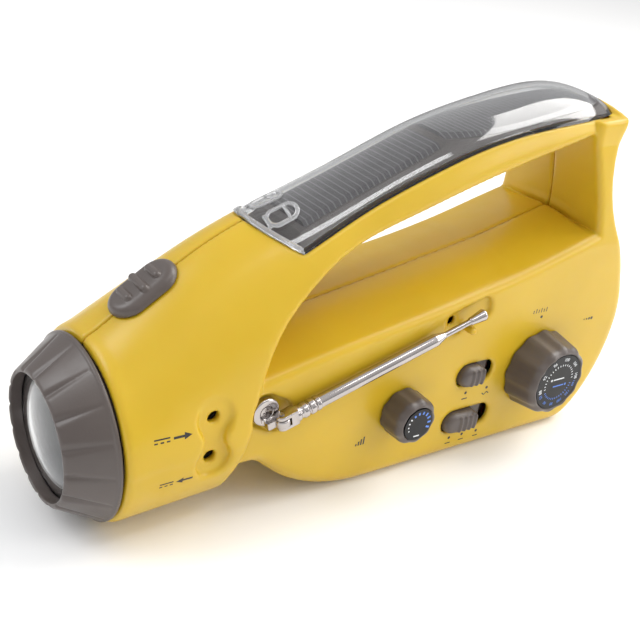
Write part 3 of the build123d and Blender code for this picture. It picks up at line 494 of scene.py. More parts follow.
def metal(name, colour, roughness, scratches=(900, 900, 900)):
    """Plated or brushed metal with fine scratches."""
    material, tree, principled = shader(name, colour, roughness, Metallic=1.0)
    vector = place_nodes(tree)
    lines = place_nodes(tree, scratches)
    worn = noise(tree, vector, 260, 4, 0.6)
    tree.links.new(ranged(tree, worn, roughness * 0.7, roughness * 1.6, 0.3, 0.7),
                   principled.inputs["Roughness"])
    tint = ranged(tree, noise(tree, vector, 90, 2), 0, 1, 0.3, 0.7)
    dark = tuple(c * 0.9 for c in colour)
    tree.links.new(blended(tree, tint, dark, colour), principled.inputs["Base Color"])
    bump(tree, principled, noise(tree, lines, 1.0, 2), 0.004)
    return material


def clear(name, colour, roughness, ior=1.49, through=1.0):
    """Transparent plastic or glass with faint smears; through is the share of light that passes."""
    material, tree, principled = shader(name, colour, roughness, Transmission_Weight=through, IOR=ior)
    vector = place_nodes(tree)
    smear = noise(tree, vector, 120, 3, 0.6)
    tree.links.new(ranged(tree, smear, roughness, roughness + 0.05, 0.45, 0.75),
                   principled.inputs["Roughness"])
    bump(tree, principled, noise(tree, vector, 60, 1), 0.01)
    return material


LINE_PITCH, WAVES_AT_SCALE_1 = 0.0021, 3.18  # of the cells' printed lines; of Blender's wave texture


def solar(name):
    """Silicon under fine printed lines across the cell."""
    material, tree, principled = shader(name, (0.03, 0.027, 0.03), 0.3, Coat_Weight=0.4, Coat_Roughness=0.08)
    vector = place_nodes(tree)
    lines = tree.nodes.new("ShaderNodeTexWave")
    lines.bands_direction = "X"
    lines.inputs["Scale"].default_value = 1 / (LINE_PITCH * WAVES_AT_SCALE_1)
    lines.inputs["Distortion"].default_value = 0.0
    tree.links.new(vector, lines.inputs["Vector"])
    line = ranged(tree, lines.outputs["Fac"], 0, 1, 0.86, 0.97)
    crystal = noise(tree, vector, 200, 2)
    share = ranged(tree, crystal, 0, 1, 0.4, 0.6)
    ground = blended(tree, share, (0.030, 0.025, 0.028), (0.052, 0.045, 0.050))
    mix = tree.nodes.new("ShaderNodeMix")
    mix.data_type = "RGBA"
    mix.inputs["B"].default_value = (0.17, 0.155, 0.165, 1)
    tree.links.new(ground, mix.inputs["A"])
    tree.links.new(line, mix.inputs["Factor"])
    tree.links.new(mix.outputs["Result"], principled.inputs["Base Color"])
    bump(tree, principled, line, 0.03, 0.5)
    return material


YELLOW = plastic("yellow_plastic", (0.62, 0.405, 0.018), (0.58, 0.375, 0.016), 0.34, 0.012, 700,
                 Coat_Weight=0.10, Coat_Roughness=0.16, Specular_IOR_Level=0.42,
                 Subsurface_Weight=0.12, Subsurface_Scale=0.004)
GREY = plastic("grey_plastic", (0.096, 0.077, 0.069), (0.082, 0.065, 0.059), 0.38, 0.03, 1500,
               Coat_Weight=0.15, Coat_Roughness=0.25)
BLACK = plastic("black_plastic", (0.02, 0.02, 0.02), (0.015, 0.015, 0.015), 0.5, 0.03, 1500)
NYLON = plastic("white_nylon", (0.74, 0.72, 0.66), (0.70, 0.68, 0.61), 0.45, 0.01, 900,
                Subsurface_Weight=0.15)
BOARD = plastic("board", (0.03, 0.14, 0.05), (0.02, 0.11, 0.04), 0.3, 0.01, 600)
CELL_JACKET = plastic("cell_jacket", (0.06, 0.18, 0.33), (0.05, 0.15, 0.3), 0.3, 0.005, 600)
PAPER = plastic("paper", (0.05, 0.05, 0.05), (0.035, 0.035, 0.035), 0.85, 0.06, 1200)
DIAL = plastic("dial_face", (0.006, 0.006, 0.008), (0.005, 0.005, 0.006), 0.35, 0.003, 500,
               Specular_IOR_Level=0.3)
FERRITE = plastic("ferrite", (0.045, 0.043, 0.042), (0.035, 0.034, 0.034), 0.6, 0.04, 1400)
PRINT = plastic("black_print", (0.018, 0.016, 0.014), (0.014, 0.012, 0.011), 0.4, 0.004, 900)
WHITE_PRINT = plastic("white_print", (0.78, 0.80, 0.82), (0.70, 0.72, 0.75), 0.4, 0.004, 900)
BLUE_PRINT = plastic("blue_print", (0.10, 0.24, 0.72), (0.08, 0.20, 0.65), 0.4, 0.004, 900)
CHROME = metal("chrome", (0.50, 0.465, 0.455), 0.13)
STEEL = metal("steel", (0.52, 0.52, 0.53), 0.28, (300, 300, 3000))
COPPER = metal("copper", (0.62, 0.30, 0.15), 0.35, (6000, 100, 100))
MIRROR = metal("mirror", (0.93, 0.89, 0.88), 0.08, (200, 200, 200))
CLEAR = clear("clear_plastic", (0.96, 0.97, 0.98), 0.02)
# The loops' clear plastic lets only 0.8 of the light through, so its white base shows: a painted highlight
# along the loops.
CLEAR_WITH_PAINTED_SHEEN = clear("clear_with_painted_sheen", (0.93, 0.93, 0.94), 0.18, through=0.8)
BULB_GLASS = clear("lamp_glass", (0.98, 0.96, 0.9), 0.03, 1.5)
SOLAR = solar("solar_cell")
SLOT_MATERIALS = {
    "yellow_plastic": YELLOW, "grey_plastic": GREY, "black_plastic": BLACK, "white_nylon": NYLON,
    "board": BOARD, "cell_jacket": CELL_JACKET, "paper": PAPER, "dial_face": DIAL, "ferrite": FERRITE,
    "chrome": CHROME, "steel": STEEL, "copper": COPPER, "mirror": MIRROR, "clear_plastic": CLEAR,
    "lamp_glass": BULB_GLASS, "solar_cell": SOLAR,
}
for entry in frame["record"]["subparts"]:
    node = frame["nodes"][entry["node"]]
    node.data.materials.clear()
    node.data.materials.append(SLOT_MATERIALS[entry["material_slot"]])


# ---------------------------------------------------------------- the housing halves
for name, field, lows, highs in (
    ("near_shell", near_half, (-106, -34, -2), (123, 1.5, 138)),
    ("far_shell", far_half, (-106, -1.5, -2), (123, 33.5, 138)),
):
    moulded(f"{name}_moulding", field, lows, highs, CELL, "housing", "yellow_plastic", YELLOW, name)

# ---------------------------------------------------------------- local axes of the pieces
def axes_at(origin, across, outward):
    """Axes of a piece: an origin in millimetres and three directions, the third one outward."""
    u, w = Vector(across).normalized(), Vector(outward).normalized()
    return origin, np.array([u, w.cross(u), w])


def panel_axes(centre, y):
    """Axes of a control on the panel, outward from the plane at y."""
    return axes_at((centre[0], y, centre[1]), (1, 0, 0), (0, -1, 0))


def in_world(axes, points):
    origin, directions = axes
    return np.array(origin, float) + np.asarray(points, float) @ directions


def world_grid(axes, u, v, w):
    """World coordinates of a local grid."""
    origin, directions = axes
    return [origin[i] + u * directions[0, i] + v * directions[1, i] + w * directions[2, i] for i in range(3)]


def carved(name, axes, field, low, high, cell, body, slot, material, *nodes):
    """A piece made from a distance field in its own axes."""
    points, quads = polygonise(field, low, high, cell * (1.0))
    finish_piece(name, mesh_of(name, in_world(axes, points), quads), body, slot, material, *nodes)


def rounded(points, radius, steps=5):
    """An outline with a soft corner at each point that isn't on the axis."""
    out = []
    t = np.linspace(0, 1, steps)[:, None]
    for i, place in enumerate(points):
        p, a, b = (np.array(q, float) for q in (place, points[i - 1], points[(i + 1) % len(points)]))
        if p[0] == 0:
            out.append(p[None])
            continue
        before, after = a - p, b - p
        start = p + before * min(radius / np.linalg.norm(before), 0.45)
        end = p + after * min(radius / np.linalg.norm(after), 0.45)
        out.append((1 - t) ** 2 * start + 2 * t * (1 - t) * p + t**2 * end)
    return np.vstack(out)


def turned(name, axes, outline, body, slot, material, *nodes, steps=96):
    """A closed outline of (radius, height) points turned about the axes' third direction."""
    outline = np.asarray(outline, float)
    angles = np.linspace(0, 2 * np.pi, steps, endpoint=False)
    points, rings = [], []
    for radius, height in outline:
        start = sum(len(p) for p in points)
        if radius < 1e-6:
            points.append(np.array([[0, 0, height]]))
            rings.append(np.full(steps, start))
        else:
            points.append(np.column_stack([radius * np.cos(angles), radius * np.sin(angles),
                                           np.full(steps, height)]))
            rings.append(start + np.arange(steps))
    faces = []
    for ring, after in zip(rings, rings[1:] + rings[:1]):
        for i in range(steps):
            j = (i + 1) % steps
            face = list(dict.fromkeys((ring[i], ring[j], after[j], after[i])))
            if len(face) > 2:
                faces.append(face)
    mesh = mesh_of(name, in_world(axes, np.vstack(points)), faces)
    outward_faces(mesh)
    finish_piece(name, mesh, body, slot, material, *nodes)


def outward_faces(mesh, angle=35):
    """Turns all faces outwards and keeps edges above an angle sharp."""
    work = bmesh.new()
    work.from_mesh(mesh)
    bmesh.ops.recalc_face_normals(work, faces=work.faces)
    work.to_mesh(mesh)
    work.free()
    mesh.set_sharp_from_angle(angle=radians(angle))


def slab(flat, height, low, high, rounding):
    """Distance from a shape of distance flat that runs from low to high, with one rounded edge size."""
    middle_height, half = (low + high) / 2, (high - low) / 2
    a = flat + rounding
    b = np.abs(height - middle_height) - half + rounding
    outside = np.sqrt(np.maximum(a, 0) ** 2 + np.maximum(b, 0) ** 2)
    return outside + np.minimum(np.maximum(a, b), 0) - rounding


# ---------------------------------------------------------------- the torch head
LAMP_AXES = axes_at(tuple(LAMP), (0, -1, 0), LAMP_AXIS)
LENS_SEAT, LENS_REAR = 10.6, 8.95
BEZEL_PROFILE = [
    (20.4, 14.7), (21.4, 14.7), (22.2, 14.0), (29.7, 1.9), (30.4, 1.5), (30.4, 0.3), (27.6, 0.3), (27.6, -6),
    (25.4, -6), (25.4, 1.6), (23.1, 1.6), (23.1, 8.9), (22.1, 8.9), (22.1, LENS_SEAT), (20.4, LENS_SEAT)]
GROOVES = 16


def bezel(u, v, w):
    """The torch head's ring with its wedge-shaped grip grooves."""
    radius = np.sqrt(u * u + v * v)
    ring = outline_distance(BEZEL_PROFILE, radius, w)
    pitch = 2 * np.pi / GROOVES
    turn = np.arctan2(v, u)
    turn = turn - pitch * np.round(turn / pitch)
    along, aside = radius * np.cos(turn), np.abs(radius * np.sin(turn))
    share = np.clip((w - 2.4) / 12.8, 0, 1)
    root = 29.2 - 8.9 * share
    steepness = (1.2 + 1.0 * share) / (2.2 + 1.2 * share)
    outside_groove = (root + steepness * aside - along) / np.sqrt(1 + steepness**2)
    groove = np.maximum(outside_groove, 2.4 - w)
    return cut(ring, groove, 0.45)


carved("bezel_grip", LAMP_AXES, bezel, (-31, -31, -6.6), (31, 31, 15.4), 0.42,
       "bezel", "grey_plastic", GREY, "bezel_ring")

LENS_APEX, LENS_CURVE = 14.3, 55.0


def dome(radius, curve):
    """Height of a sphere's cap about the lens's centre, at a radius."""
    return LENS_APEX - LENS_CURVE + sqrt(curve**2 - radius**2)


outer = [(r, dome(r, LENS_CURVE)) for r in np.linspace(0, 20, 24)]
inner = [(r, dome(r, LENS_CURVE - 2)) for r in np.linspace(18.4, 0, 22)]
turned("lens_dome", LAMP_AXES, outer + [(21.9, LENS_SEAT - 0.1), (21.9, LENS_REAR)] + inner,
       "bezel", "clear_plastic", CLEAR, "lens", steps=128)

THROAT, FOCUS, REFLECTOR_BASE = 5.2, 5.7, -19.0
bowl = [(r, REFLECTOR_BASE + (r * r - THROAT**2) / (4 * FOCUS)) for r in np.linspace(THROAT, 22.2, 30)]
turned("reflector_bowl", LAMP_AXES, bowl + [(r, h - 1.4) for r, h in bowl[::-1]],
       "bezel", "mirror", MIRROR, "reflector", steps=128)

globe = [(4.3 * sin(a), -13.5 + 4.3 * cos(a)) for a in np.linspace(0, radians(140), 22)]
turned("bulb", LAMP_AXES, globe + [(3.2, -17.2), (3.2, -24.5), (0, -24.5)],
       "housing", "lamp_glass", BULB_GLASS, "lamp_bulb", steps=48)

# ---------------------------------------------------------------- lamp switch
SWITCH_AXES = axes_at((SWITCH_PLACE[0], 0, SWITCH_PLACE[1]), (cos(SWITCH_SLOPE), 0, sin(SWITCH_SLOPE)),
                      (-sin(SWITCH_SLOPE), 0, cos(SWITCH_SLOPE)))


def lamp_switch(u, v, w):
    """A pad that follows the hood's crown, three ribs across it, and the stem below."""
    hull = canopy(*world_grid(SWITCH_AXES, u, v, w))
    pad = capsule(u, v, (-4.9, 0), (4.9, 0), 7.3)
    pad = smooth_max(smooth_max(pad, hull - 3.1, 3.4), w - 3.2, 0.6)
    for place, half in ((-5.4, 2.4), (0, 3.8), (5.4, 2.4)):
        rib = capsule(u, v, (place, -half), (place, half), 1.4)
        pad = smooth_min(pad, smooth_max(rib, np.abs(w - 2.2) - 2.0, 1.6), 0.35)
    pad = np.maximum(pad, 0.5 - hull)
    stem = np.maximum(bar(u, v, (-2.4, 0), (5.4, 4.0), 0.4), np.abs(w + 2.25) - 4.25)
    return np.minimum(pad, stem)


carved("lamp_slider", SWITCH_AXES, lamp_switch, (-13, -8, -7.2), (13, 8, 5.2), 0.28,
       "lamp_switch", "grey_plastic", GREY, "lamp_switch_slider")


# ---------------------------------------------------------------- knobs and dials
FLUTE_PLACE, FLUTE_RADIUS = 1.30, 0.345  # of a knob's flutes, as shares of its radius


def knob(name, body, centre, base, front, height, flutes, dial, dial_depth):
    """A knob with shallow flutes, a round rim and a sunk dial."""
    axes = panel_axes(centre, -PANEL - 0.3)

    def field(u, v, w):
        radius = np.sqrt(u * u + v * v)
        wall = base + (front - base) * w / height
        pitch = 2 * np.pi / flutes
        turn = np.arctan2(v, u) + pitch / 2
        turn = turn - pitch * np.round(turn / pitch)
        aside = np.hypot(radius * np.cos(turn) - FLUTE_PLACE * wall, radius * np.sin(turn))
        side = smooth_max(radius - wall, FLUTE_RADIUS * wall - aside, 0.9)
        crown = smooth_max(side, w - height, 3.4)
        solid = smooth_max(crown, -w, 0.6)
        sunk = np.maximum(radius - dial - 0.25 * (w - height + dial_depth), height - dial_depth - w)
        solid = cut(solid, sunk, 0.7)
        return np.maximum(solid, -np.maximum(radius - 3.0, w - height + 4))

    reach = base + 0.8
    carved(f"{name}_grip", axes, field, (-reach, -reach, -0.6), (reach, reach, height + 0.6),
           0.3, body, "grey_plastic", GREY, f"{name}_knob")


knob("tuning", "tuning_control", TUNING, 16.0, 13.9, 14.0, 12, 11.5, 1.7)
knob("volume", "volume_knob_body", VOLUME, 9.1, 8.8, 10.5, 9, 6.2, 0.9)


def prism(outline, low=-0.02, high=0.03):
    """A flat mark with a little thickness, as points and faces."""
    flat = np.asarray(outline, float)
    count = len(flat)
    points = np.vstack([np.column_stack([flat, np.full(count, h)]) for h in (low, high)])
    faces = [list(range(count))[::-1], list(range(count, 2 * count))]
    faces += [[i, (i + 1) % count, count + (i + 1) % count, count + i] for i in range(count)]
    return points, faces


def dot(place, radius, steps=20):
    """A round outline."""
    turn = np.linspace(0, 2 * np.pi, steps, endpoint=False)
    return np.column_stack([place[0] + radius * np.cos(turn), place[1] + radius * np.sin(turn)])


def stroke(a, b, width):
    """A straight bar from a to b."""
    a, b = np.array(a, float), np.array(b, float)
    side = np.array([a[1] - b[1], b[0] - a[0]]) / np.linalg.norm(b - a) * width / 2
    return [a - side, b - side, b + side, a + side]


def number(text, size, place, turn):
    """A number as points and faces, turned about its centre."""
    curve = bpy.data.curves.new("number", "FONT")
    curve.body, curve.size, curve.extrude = text, size, 0.025
    curve.align_x, curve.align_y = "CENTER", "CENTER"
    curve.resolution_u = 3
    holder = bpy.data.objects.new("number", curve)
    mesh = bpy.data.meshes.new_from_object(holder)
    points = np.array([v.co for v in mesh.vertices])
    faces = [list(f.vertices) for f in mesh.polygons]
    bpy.data.objects.remove(holder)
    bpy.data.curves.remove(curve)
    bpy.data.meshes.remove(mesh)
    c, s = cos(turn), sin(turn)
    flat = points[:, :2] @ np.array([[c, s], [-s, c]]) + np.array(place)
    return np.column_stack([flat, points[:, 2]]), faces


def printed(name, axes, marks, body, slot, material, onto=None):
    """All marks of one colour as one piece; onto moves its points onto a curved face."""
    points, faces = [], []
    for mark_points, mark_faces in marks:
        start = sum(len(p) for p in points)
        points.append(mark_points)
        faces += [[start + i for i in face] for face in mark_faces]
    world = in_world(axes, np.vstack(points))
    if onto:
        world = onto(world)
    finish_piece(name, mesh_of(name, world, faces, smooth=False), body, slot, material)


def round_the_dial(radius, degree):
    """A place on a dial."""
    return radius * cos(radians(degree)), radius * sin(radians(degree))


def dial_marks(values, first, last, size, number_radius, tick_radius, ticks, tick_length):
    """Numbers spread round a dial, and a ring of short ticks inside them."""
    marks = []
    for text, degree in zip(values, np.linspace(first, last, len(values))):
        marks.append(number(text, size, round_the_dial(number_radius, degree), radians(degree - 90)))
    for degree in np.linspace(first, last, ticks):
        a, b = (round_the_dial(r, degree) for r in (tick_radius, tick_radius + tick_length))
        marks.append(prism(stroke(a, b, 0.34)))
    return marks


def on_dial(node):
    """Axes just above a dial's face."""
    low, high = extent(node)
    return panel_axes(((low.x + high.x) / 2, (low.z + high.z) / 2), low.y - 0.02)


TUNING_FACE, VOLUME_FACE = on_dial("tuning_dial"), on_dial("volume_dial")
printed("tuning_scale_upper", TUNING_FACE,
        dial_marks(("88", "92", "96", "100", "104", "108"), 196, 6, 2.0, 9.5, 6.9, 19, 0.75)
        + [prism(stroke((-3.2, 1.4), (2.6, 1.4), 0.5)), prism(dot((-4.2, 1.4), 0.5))],
        "tuning_control", "dial_face", WHITE_PRINT)
printed("tuning_scale_lower", TUNING_FACE,
        dial_marks(("53", "60", "80", "100", "130", "160"), 212, 346, 1.8, 9.5, 6.9, 16, 0.75)
        + [prism(stroke((-2.6, -1.6), (3.2, -1.6), 0.5)), prism(dot((4.2, -1.6), 0.5))],
        "tuning_control", "dial_face", BLUE_PRINT)
printed("volume_scale_low", VOLUME_FACE,
        [prism(stroke(round_the_dial(4.2, d), round_the_dial(4.7 + i * 0.1, d), 0.5))
         for i, d in enumerate((205, 185, 165, 145))] + [prism(stroke((-1.3, -4.6), (1.3, -4.6), 0.45))],
        "volume_knob_body", "dial_face", WHITE_PRINT)
printed("volume_scale_high", VOLUME_FACE,
        [prism(stroke(round_the_dial(4.0, d), round_the_dial(4.9 + i * 0.12, d), 0.7))
         for i, d in enumerate((122, 98, 74, 50, 26, 2, -22))],
        "volume_knob_body", "dial_face", BLUE_PRINT)


# ---------------------------------------------------------------- slide switches
def slider(name, body, slot_centre, slot_width, length, ribs, shift):
    """A domed slider with ribs on its rear half, at the left end of its slot."""
    centre = (slot_centre[0] - (slot_width - length) / 2 + 0.3, slot_centre[1])
    half_height, proud = 4.3, 3.4

    def field(u, v, w):
        flat = capsule(u, v, (half_height - length / 2, 0), (length / 2 - half_height, 0), half_height)
        crown = w - proud + 0.035 * v * v + 0.012 * (u - shift) ** 2
        solid = smooth_max(smooth_max(flat, crown, 2.6), -2.6 - w, 0.3)
        for rib in range(ribs):
            place = shift + (rib - (ribs - 1) / 2) * 2.5
            line = capsule(u, v, (place, -2.7), (place, 2.7), 0.62)
            ridge = smooth_max(smooth_max(line, crown - 0.55, 0.7), 1.0 - w, 0.3)
            solid = smooth_min(solid, ridge, 0.5)
        flange = slab(bar(u, v, (0, 0), (length + 9, 2 * half_height + 2), 0.5), w, -3.2, -2.5, 0.1)
        stem = slab(bar(u, v, (0, 0), (3, 3), 0.3), w, -4.6, -3.0, 0.1)
        return np.minimum(np.minimum(solid, flange), stem)

    reach = (length / 2 + 5, half_height + 1.6)
    carved(f"{name}_slider_cap", panel_axes(centre, -PANEL), field, (-reach[0], -reach[1], -5), (*reach, 4.8),
           0.22, body, "grey_plastic", GREY, f"{name}_slider")


slider("band", "band_switch", BAND_SLOT, BAND_SLOT_SIZE[0], 12.0, 3, 1.4)
slider("function", "function_switch", FUNCTION_SLOT, FUNCTION_SLOT_SIZE[0], 16.4, 4, 2.0)

# ---------------------------------------------------------------- telescopic antenna
ANTENNA_Y = -31.0
ROD_DIRECTION = (cos(ANTENNA_SLOPE), 0, sin(ANTENNA_SLOPE))
ROD_AXES = axes_at((ELBOW[0], ANTENNA_Y, ELBOW[1]), (0, -1, 0), ROD_DIRECTION)


def swivel(x, y, z):
    """The disc that turns in the recess, with a screw's seat and the ear that carries the elbow."""
    out = -y
    body = slab(disc(x, z, SWIVEL, 4.9), out, 25.95, 28.6, 0.7)
    along, across = inclined(x, z, ELBOW, ANTENNA_SLOPE)
    ahead = out + ANTENNA_Y
    ear = slab(np.sqrt(along**2 + ahead**2) - 2.7, across, -1.3, 1.3, 0.5)
    link = np.maximum(bar(ahead, along, (-1.5, -2.1), (3.0, 6.4), 0.4), np.abs(across) - 1.3)
    solid = smooth_min(smooth_min(body, link, 0.8), ear, 0.3)
    seat = np.maximum(disc(x, z, SWIVEL, 2.25), 27.1 - out)
    solid = cut(solid, seat, 0.4)
    solid = np.maximum(solid, -disc(x, z, SWIVEL, 1.05))
    return np.maximum(solid, 0.85 - np.sqrt(along**2 + ahead**2))


moulded("swivel_block", swivel, (-60.6, -34.4, 35), (-46.6, -25.4, 47), 0.17,
        "antenna_base", "chrome", CHROME, "antenna_swivel")


def elbow(u, v, w):
    """A fork round the swivel's ear, and the grooved collar that holds the tubes."""
    radius = np.sqrt(u * u + v * v)
    grooved = outline_distance(rounded([
        (0, 4.4), (2.7, 4.4), (2.7, 6.0), (2.35, 6.2), (2.35, 7.2), (2.7, 7.4), (2.7, 9.0), (2.1, 9.2),
        (2.1, 9.8), (2.7, 10.0), (2.7, 11.8), (2.1, 12.0), (2.1, 12.3), (2.6, 12.5), (2.6, 14.0), (0, 14.0)],
        0.25, 3), radius, w)
    cheeks = slab(np.minimum(np.hypot(u, w) - 2.2, bar(u, w, (0, 2.6), (4.4, 5.2), 0.3)), v, -2.7, 2.7, 0.35)
    gap = np.minimum(np.hypot(u, w) - 3.1, bar(u, w, (0, -3), (9, 6), 0.2))
    cheeks = np.maximum(cheeks, -np.maximum(gap, np.abs(v) - 1.4))
    solid = smooth_min(grooved, cheeks, 0.4)
    return np.maximum(solid, 0.8 - np.hypot(u, w))


carved("elbow_joint", ROD_AXES, elbow, (-3.2, -3.2, -2.8), (3.2, 3.2, 14.4), 0.16,
       "antenna_arm", "chrome", CHROME, "antenna_elbow")

TUBE_START, TUBE_END = 14.0, 64.2
TUBES = (
    (2.25, 1.95, "antenna_arm"), (1.90, 1.55, "antenna_section_2"), (1.50, 1.15, "antenna_section_3"))
for count, (radius, bore, body) in enumerate(TUBES):
    start, end = TUBE_START + 1.5 * count, TUBE_END + 1.5 * count
    outline = [(bore, start), (radius, start), (radius, end - 1.4), (bore + 0.06, end), (bore, end)]
    turned(f"tube_{count + 1}", ROD_AXES, rounded(outline, 0.12, 3), body, "chrome", CHROME,
           f"antenna_tube_{count + 1}", steps=48)
tip = [(0, TUBE_START + 5), (1.1, TUBE_START + 5), (1.1, 78.6), (1.5, 79.2), (1.5, 80.0), (2.2, 85.0),
       (2.0, 85.6), (0, 85.6)]
turned("tip", ROD_AXES, rounded(tip, 0.25, 4), "antenna_section_4", "chrome", CHROME, "antenna_tip", steps=48)

# ---------------------------------------------------------------- solar charger
COVER_WALL = 1.6
COVER_FRONT, COVER_CORNER, COVER_REAR = -53.7, -42.0, 94.5
LOOPS = ((-43.6, 3.9), (-43.8, -6.3))  # X and Y of the two finger loops in the cover's front
seat_line = spline(SEAT)


def front_slant(x):
    """Height of the cover's front edge, which slants up to its front end."""
    return 95.3 + (x + 54) * (89.5 - 95.3) / 12


def cover_edge(x):
    """Height of the cover's lower edge."""
    return np.where(x < COVER_CORNER, front_slant(x), np.interp(x, seat_line[:, 0], seat_line[:, 1]) + 0.1)


def cover_section(x, inset, share):
    """Points of the cover's section at x, share running from one lower edge to the other."""
    crown, half, depth, power = (section_at(x, column) for column in (1, 2, 3, 4))
    ratio = np.clip((cover_edge(x) - (crown - depth)) / (depth - inset), 0, 0.9995)
    limit = np.arccos(ratio ** (power / 2))
    turn = share * limit
    rise = (depth - inset) * np.cos(turn) ** (2 / power)
    return np.column_stack([np.full(len(share), x), (half - inset) * np.sin(turn), crown - depth + rise])


def cover_mesh():
    """The clear cover, its outer and inner face joined all round."""
    columns, rows = 49, 121
    share = np.linspace(-1, 1, columns)
    places = COVER_FRONT + (COVER_REAR - COVER_FRONT) * np.linspace(0, 1, rows) ** 1.15
    outer = [cover_section(x, 0, share) for x in places]
    inner = [cover_section(x, COVER_WALL, share) for x in places]
    layer = rows * columns
    faces = []
    for i in range(rows - 1):
        for j in range(columns - 1):
            a = i * columns + j
            quad = (a, a + 1, a + columns + 1, a + columns)
            faces += [quad, tuple(layer + k for k in quad[::-1])]
    rim = list(range(columns)) + [i * columns + columns - 1 for i in range(1, rows)]
    rim += [(rows - 1) * columns + j for j in range(columns - 2, -1, -1)]
    rim += [i * columns for i in range(rows - 2, 0, -1)]
    faces += [(a, b, layer + b, layer + a) for a, b in zip(rim, rim[1:] + rim[:1])]
    return np.vstack(outer + inner), faces


cover = mesh_of("cover_moulding", *cover_mesh())
outward_faces(cover, 50)
finish_piece("cover_moulding", cover, "housing", "clear_plastic", CLEAR, "solar_cover")


def finger_loops(x, y, z):
    """The cover's thick front edge, and two raised loops behind it, each with a bar across."""
    outer = canopy(x, y, z)
    ends = np.maximum(x - COVER_CORNER, COVER_FRONT - x)
    best = np.maximum(np.abs(z - front_slant(x) - 1.1) - 1.0, ends)
    for place_x, place_y in LOOPS:
        loop = bar(x, y, (place_x, place_y), (11.5, 7.4), 3.6)
        across = bar(x, y, (place_x + 1.6, place_y), (1.1, 6.4), 0.5)
        front = bar(x, y, (place_x - 5.2, place_y), (1.6, 5.6), 0.7)
        rim = np.minimum(np.minimum(np.abs(loop + 0.8) - 0.75, across), front)
        best = np.minimum(best, rim)
    return smooth_max(best, np.maximum(outer - 0.75, -0.05 - outer), 0.6)


# The loops are the cover's clear plastic drawn whitish, a painted highlight where light catches them.
moulded("cover_loops", finger_loops, (-54.2, -20, 86), (-36, 20, 106), 0.24,
        "housing", "clear_plastic", CLEAR_WITH_PAINTED_SHEEN)

# ---------------------------------------------------------------- prints on the housing
def onto_side(points):
    """Moves printed points onto the housing's outer face, seen from the panel side."""
    x, z = points[:, 0], points[:, 2]
    low, high = np.full(len(x), -34.5), np.full(len(x), -12.0)
    for _ in range(26):
        y = (low + high) / 2
        field = smooth_min(hood(x, y, z), rear_body(x, y, z), 0.5)
        inside = field < 0
        high = np.where(inside, y, high)
        low = np.where(inside, low, y)
    lifted = points.copy()
    lifted[:, 1] = high + points[:, 1]
    return lifted


def arrow(place, direction, size):
    """A small arrow along X."""
    x, z = place
    points = [(x, z + size * 0.45), (x + direction * size, z), (x, z - size * 0.45)]
    return [prism(points[::-direction]), prism(stroke((x - direction * size * 1.4, z), (x, z), size * 0.3))]


def direct_current(place, size):
    """The sign for direct current: a line over three dashes."""
    x, z = place
    dashes = [stroke((x + size * d, z - 0.8), (x + size * (d + 0.22), z - 0.8), 0.45)
              for d in (0, 0.39, 0.78)]
    return [prism(line) for line in dashes + [stroke((x, z + 0.3), (x + size, z + 0.3), 0.45)]]


def level_bars(place, size, bars=4):
    """Rising bars, the usual sign for loudness."""
    x, z = place
    return [prism(stroke((x + i * size, z), (x + i * size, z + size * (0.8 + 0.7 * i)), size * 0.55))
            for i in range(bars)]


SWITCH_DOTS = ((36.3, 27.7), (47.3, 27.7), (33.3, 8.5), (40.0, 8.5), (47.6, 8.2), (68.1, 54.2))
SWITCH_LINES = (  # under the dots: a straight and a wavy line for the two bands, a dash for each function
    ((34.9, 25.2), (37.7, 25.2), 0.5), ((45.4, 25.6), (46.6, 24.6), 0.45), ((46.6, 24.6), (47.8, 25.8), 0.45),
    ((47.8, 25.8), (49.0, 24.9), 0.45), ((31.8, 6.2), (34.4, 6.2), 0.45), ((38.7, 6.2), (41.3, 6.2), 0.45),
    ((46.3, 6.0), (48.9, 6.0), 0.45))
marks = [prism(dot(place, 0.62)) for place in SWITCH_DOTS]
marks += [prism(stroke(*line)) for line in SWITCH_LINES]
marks += level_bars((-13.6, 17.2), 1.1)
marks += direct_current((-95.6, 42.4), 5.2) + arrow((-85.6, 42.2), 1, 2.6)
marks += direct_current((-92.4, 26.0), 4.6) + arrow((-84.4, 25.8), -1, 2.4)
marks += [prism(dot((95.0 + 1.5 * i, 48.4), 0.3 + 0.12 * i)) for i in range(4)]
marks += [prism(stroke((63.0 + 1.4 * i, 56.2), (63.0 + 1.4 * i, 57.6 + 0.5 * (i % 2)), 0.4))
          for i in range(6)]
printed("panel_marks", panel_axes((0, 0), 0), marks, "housing", "black_plastic", PRINT, onto_side)

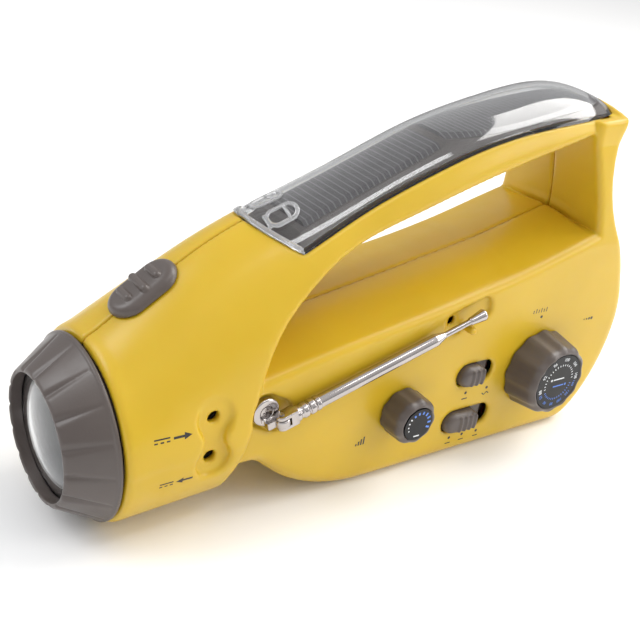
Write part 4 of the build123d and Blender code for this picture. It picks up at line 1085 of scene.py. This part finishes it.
# ---------------------------------------------------------------- camera, floor and light
CAMERA_PLACE = Vector((-225.765, -247.189, 214.843)) * MM
AZIMUTH, ELEVATION, ROLL = radians(-40.3337), radians(26.4892), radians(9.9609)
back = Vector((sin(AZIMUTH) * cos(ELEVATION), -cos(AZIMUTH) * cos(ELEVATION), sin(ELEVATION)))
right = Vector((cos(AZIMUTH), sin(AZIMUTH), 0))
up = back.cross(right)
camera_x = right * cos(ROLL) + up * sin(ROLL)
camera_y = up * cos(ROLL) - right * sin(ROLL)
camera_data = bpy.data.cameras.new("camera")
camera_data.lens = 58.45
camera_data.sensor_width = 36
camera_data.clip_start = 0.01
camera = placed("camera", camera_data)
rotation = Matrix((camera_x, camera_y, back)).transposed().to_4x4()
camera.matrix_world = Matrix.Translation(CAMERA_PLACE) @ rotation
bpy.context.scene.camera = camera

FLOOR_REACH = 3.0
corners = [(x * FLOOR_REACH, y * FLOOR_REACH, 0) for x, y in ((-1, -1), (1, -1), (1, 1), (-1, 1))]
floor_mesh = bpy.data.meshes.new("floor")
floor_mesh.from_pydata(corners, [], [(0, 1, 2, 3)])
floor = placed("floor", floor_mesh)
floor.location.z = -0.0004
floor_mesh.materials.append(shader("floor", (0.95, 0.95, 0.95), 0.7)[0])

world = bpy.data.worlds.new("studio")
world.use_nodes = True
sky = world.node_tree  # dimmer towards the horizon, so that chrome and clear plastic show their form
toward = sky.nodes.new("ShaderNodeTexCoord")
parts = sky.nodes.new("ShaderNodeSeparateXYZ")
sky.links.new(toward.outputs["Generated"], parts.inputs["Vector"])
background = sky.nodes["Background"]
background.inputs["Color"].default_value = (1.0, 1.0, 1.0, 1)
sky.links.new(ranged(sky, parts.outputs["Z"], 0.4, 0.85, -0.05, 0.7), background.inputs["Strength"])
bpy.context.scene.world = world


def softbox(name, place, target, size, power, colour=(1, 1, 1)):
    """A rectangular light aimed at a point; lengths in metres, power in watts."""
    light = bpy.data.lights.new(name, "AREA")
    light.shape = "RECTANGLE"
    light.size, light.size_y = size
    light.energy = power
    light.color = colour
    lamp = placed(name, light)
    lamp.location = place
    direction = Vector(target) - Vector(place)
    lamp.rotation_euler = direction.to_track_quat("-Z", "Y").to_euler()


TARGET = (0, 0, 0.06)
softbox("key", (0.78, -0.12, 0.92), TARGET, (0.7, 0.7), 8.5, (1.0, 0.98, 0.95))
softbox("window", (-0.75, 0.35, 0.75), TARGET, (0.5, 0.6), 4, (0.96, 0.98, 1.0))
softbox("fill", (0.45, -0.4, 0.3), (0.06, 0, 0.05), (0.3, 0.3), 1.1, (1, 0.98, 0.96))
softbox("strip", (0.1, -0.5, 1.0), TARGET, (0.4, 0.12), 1.0)
bpy.context.scene.view_settings.view_transform = "Standard"
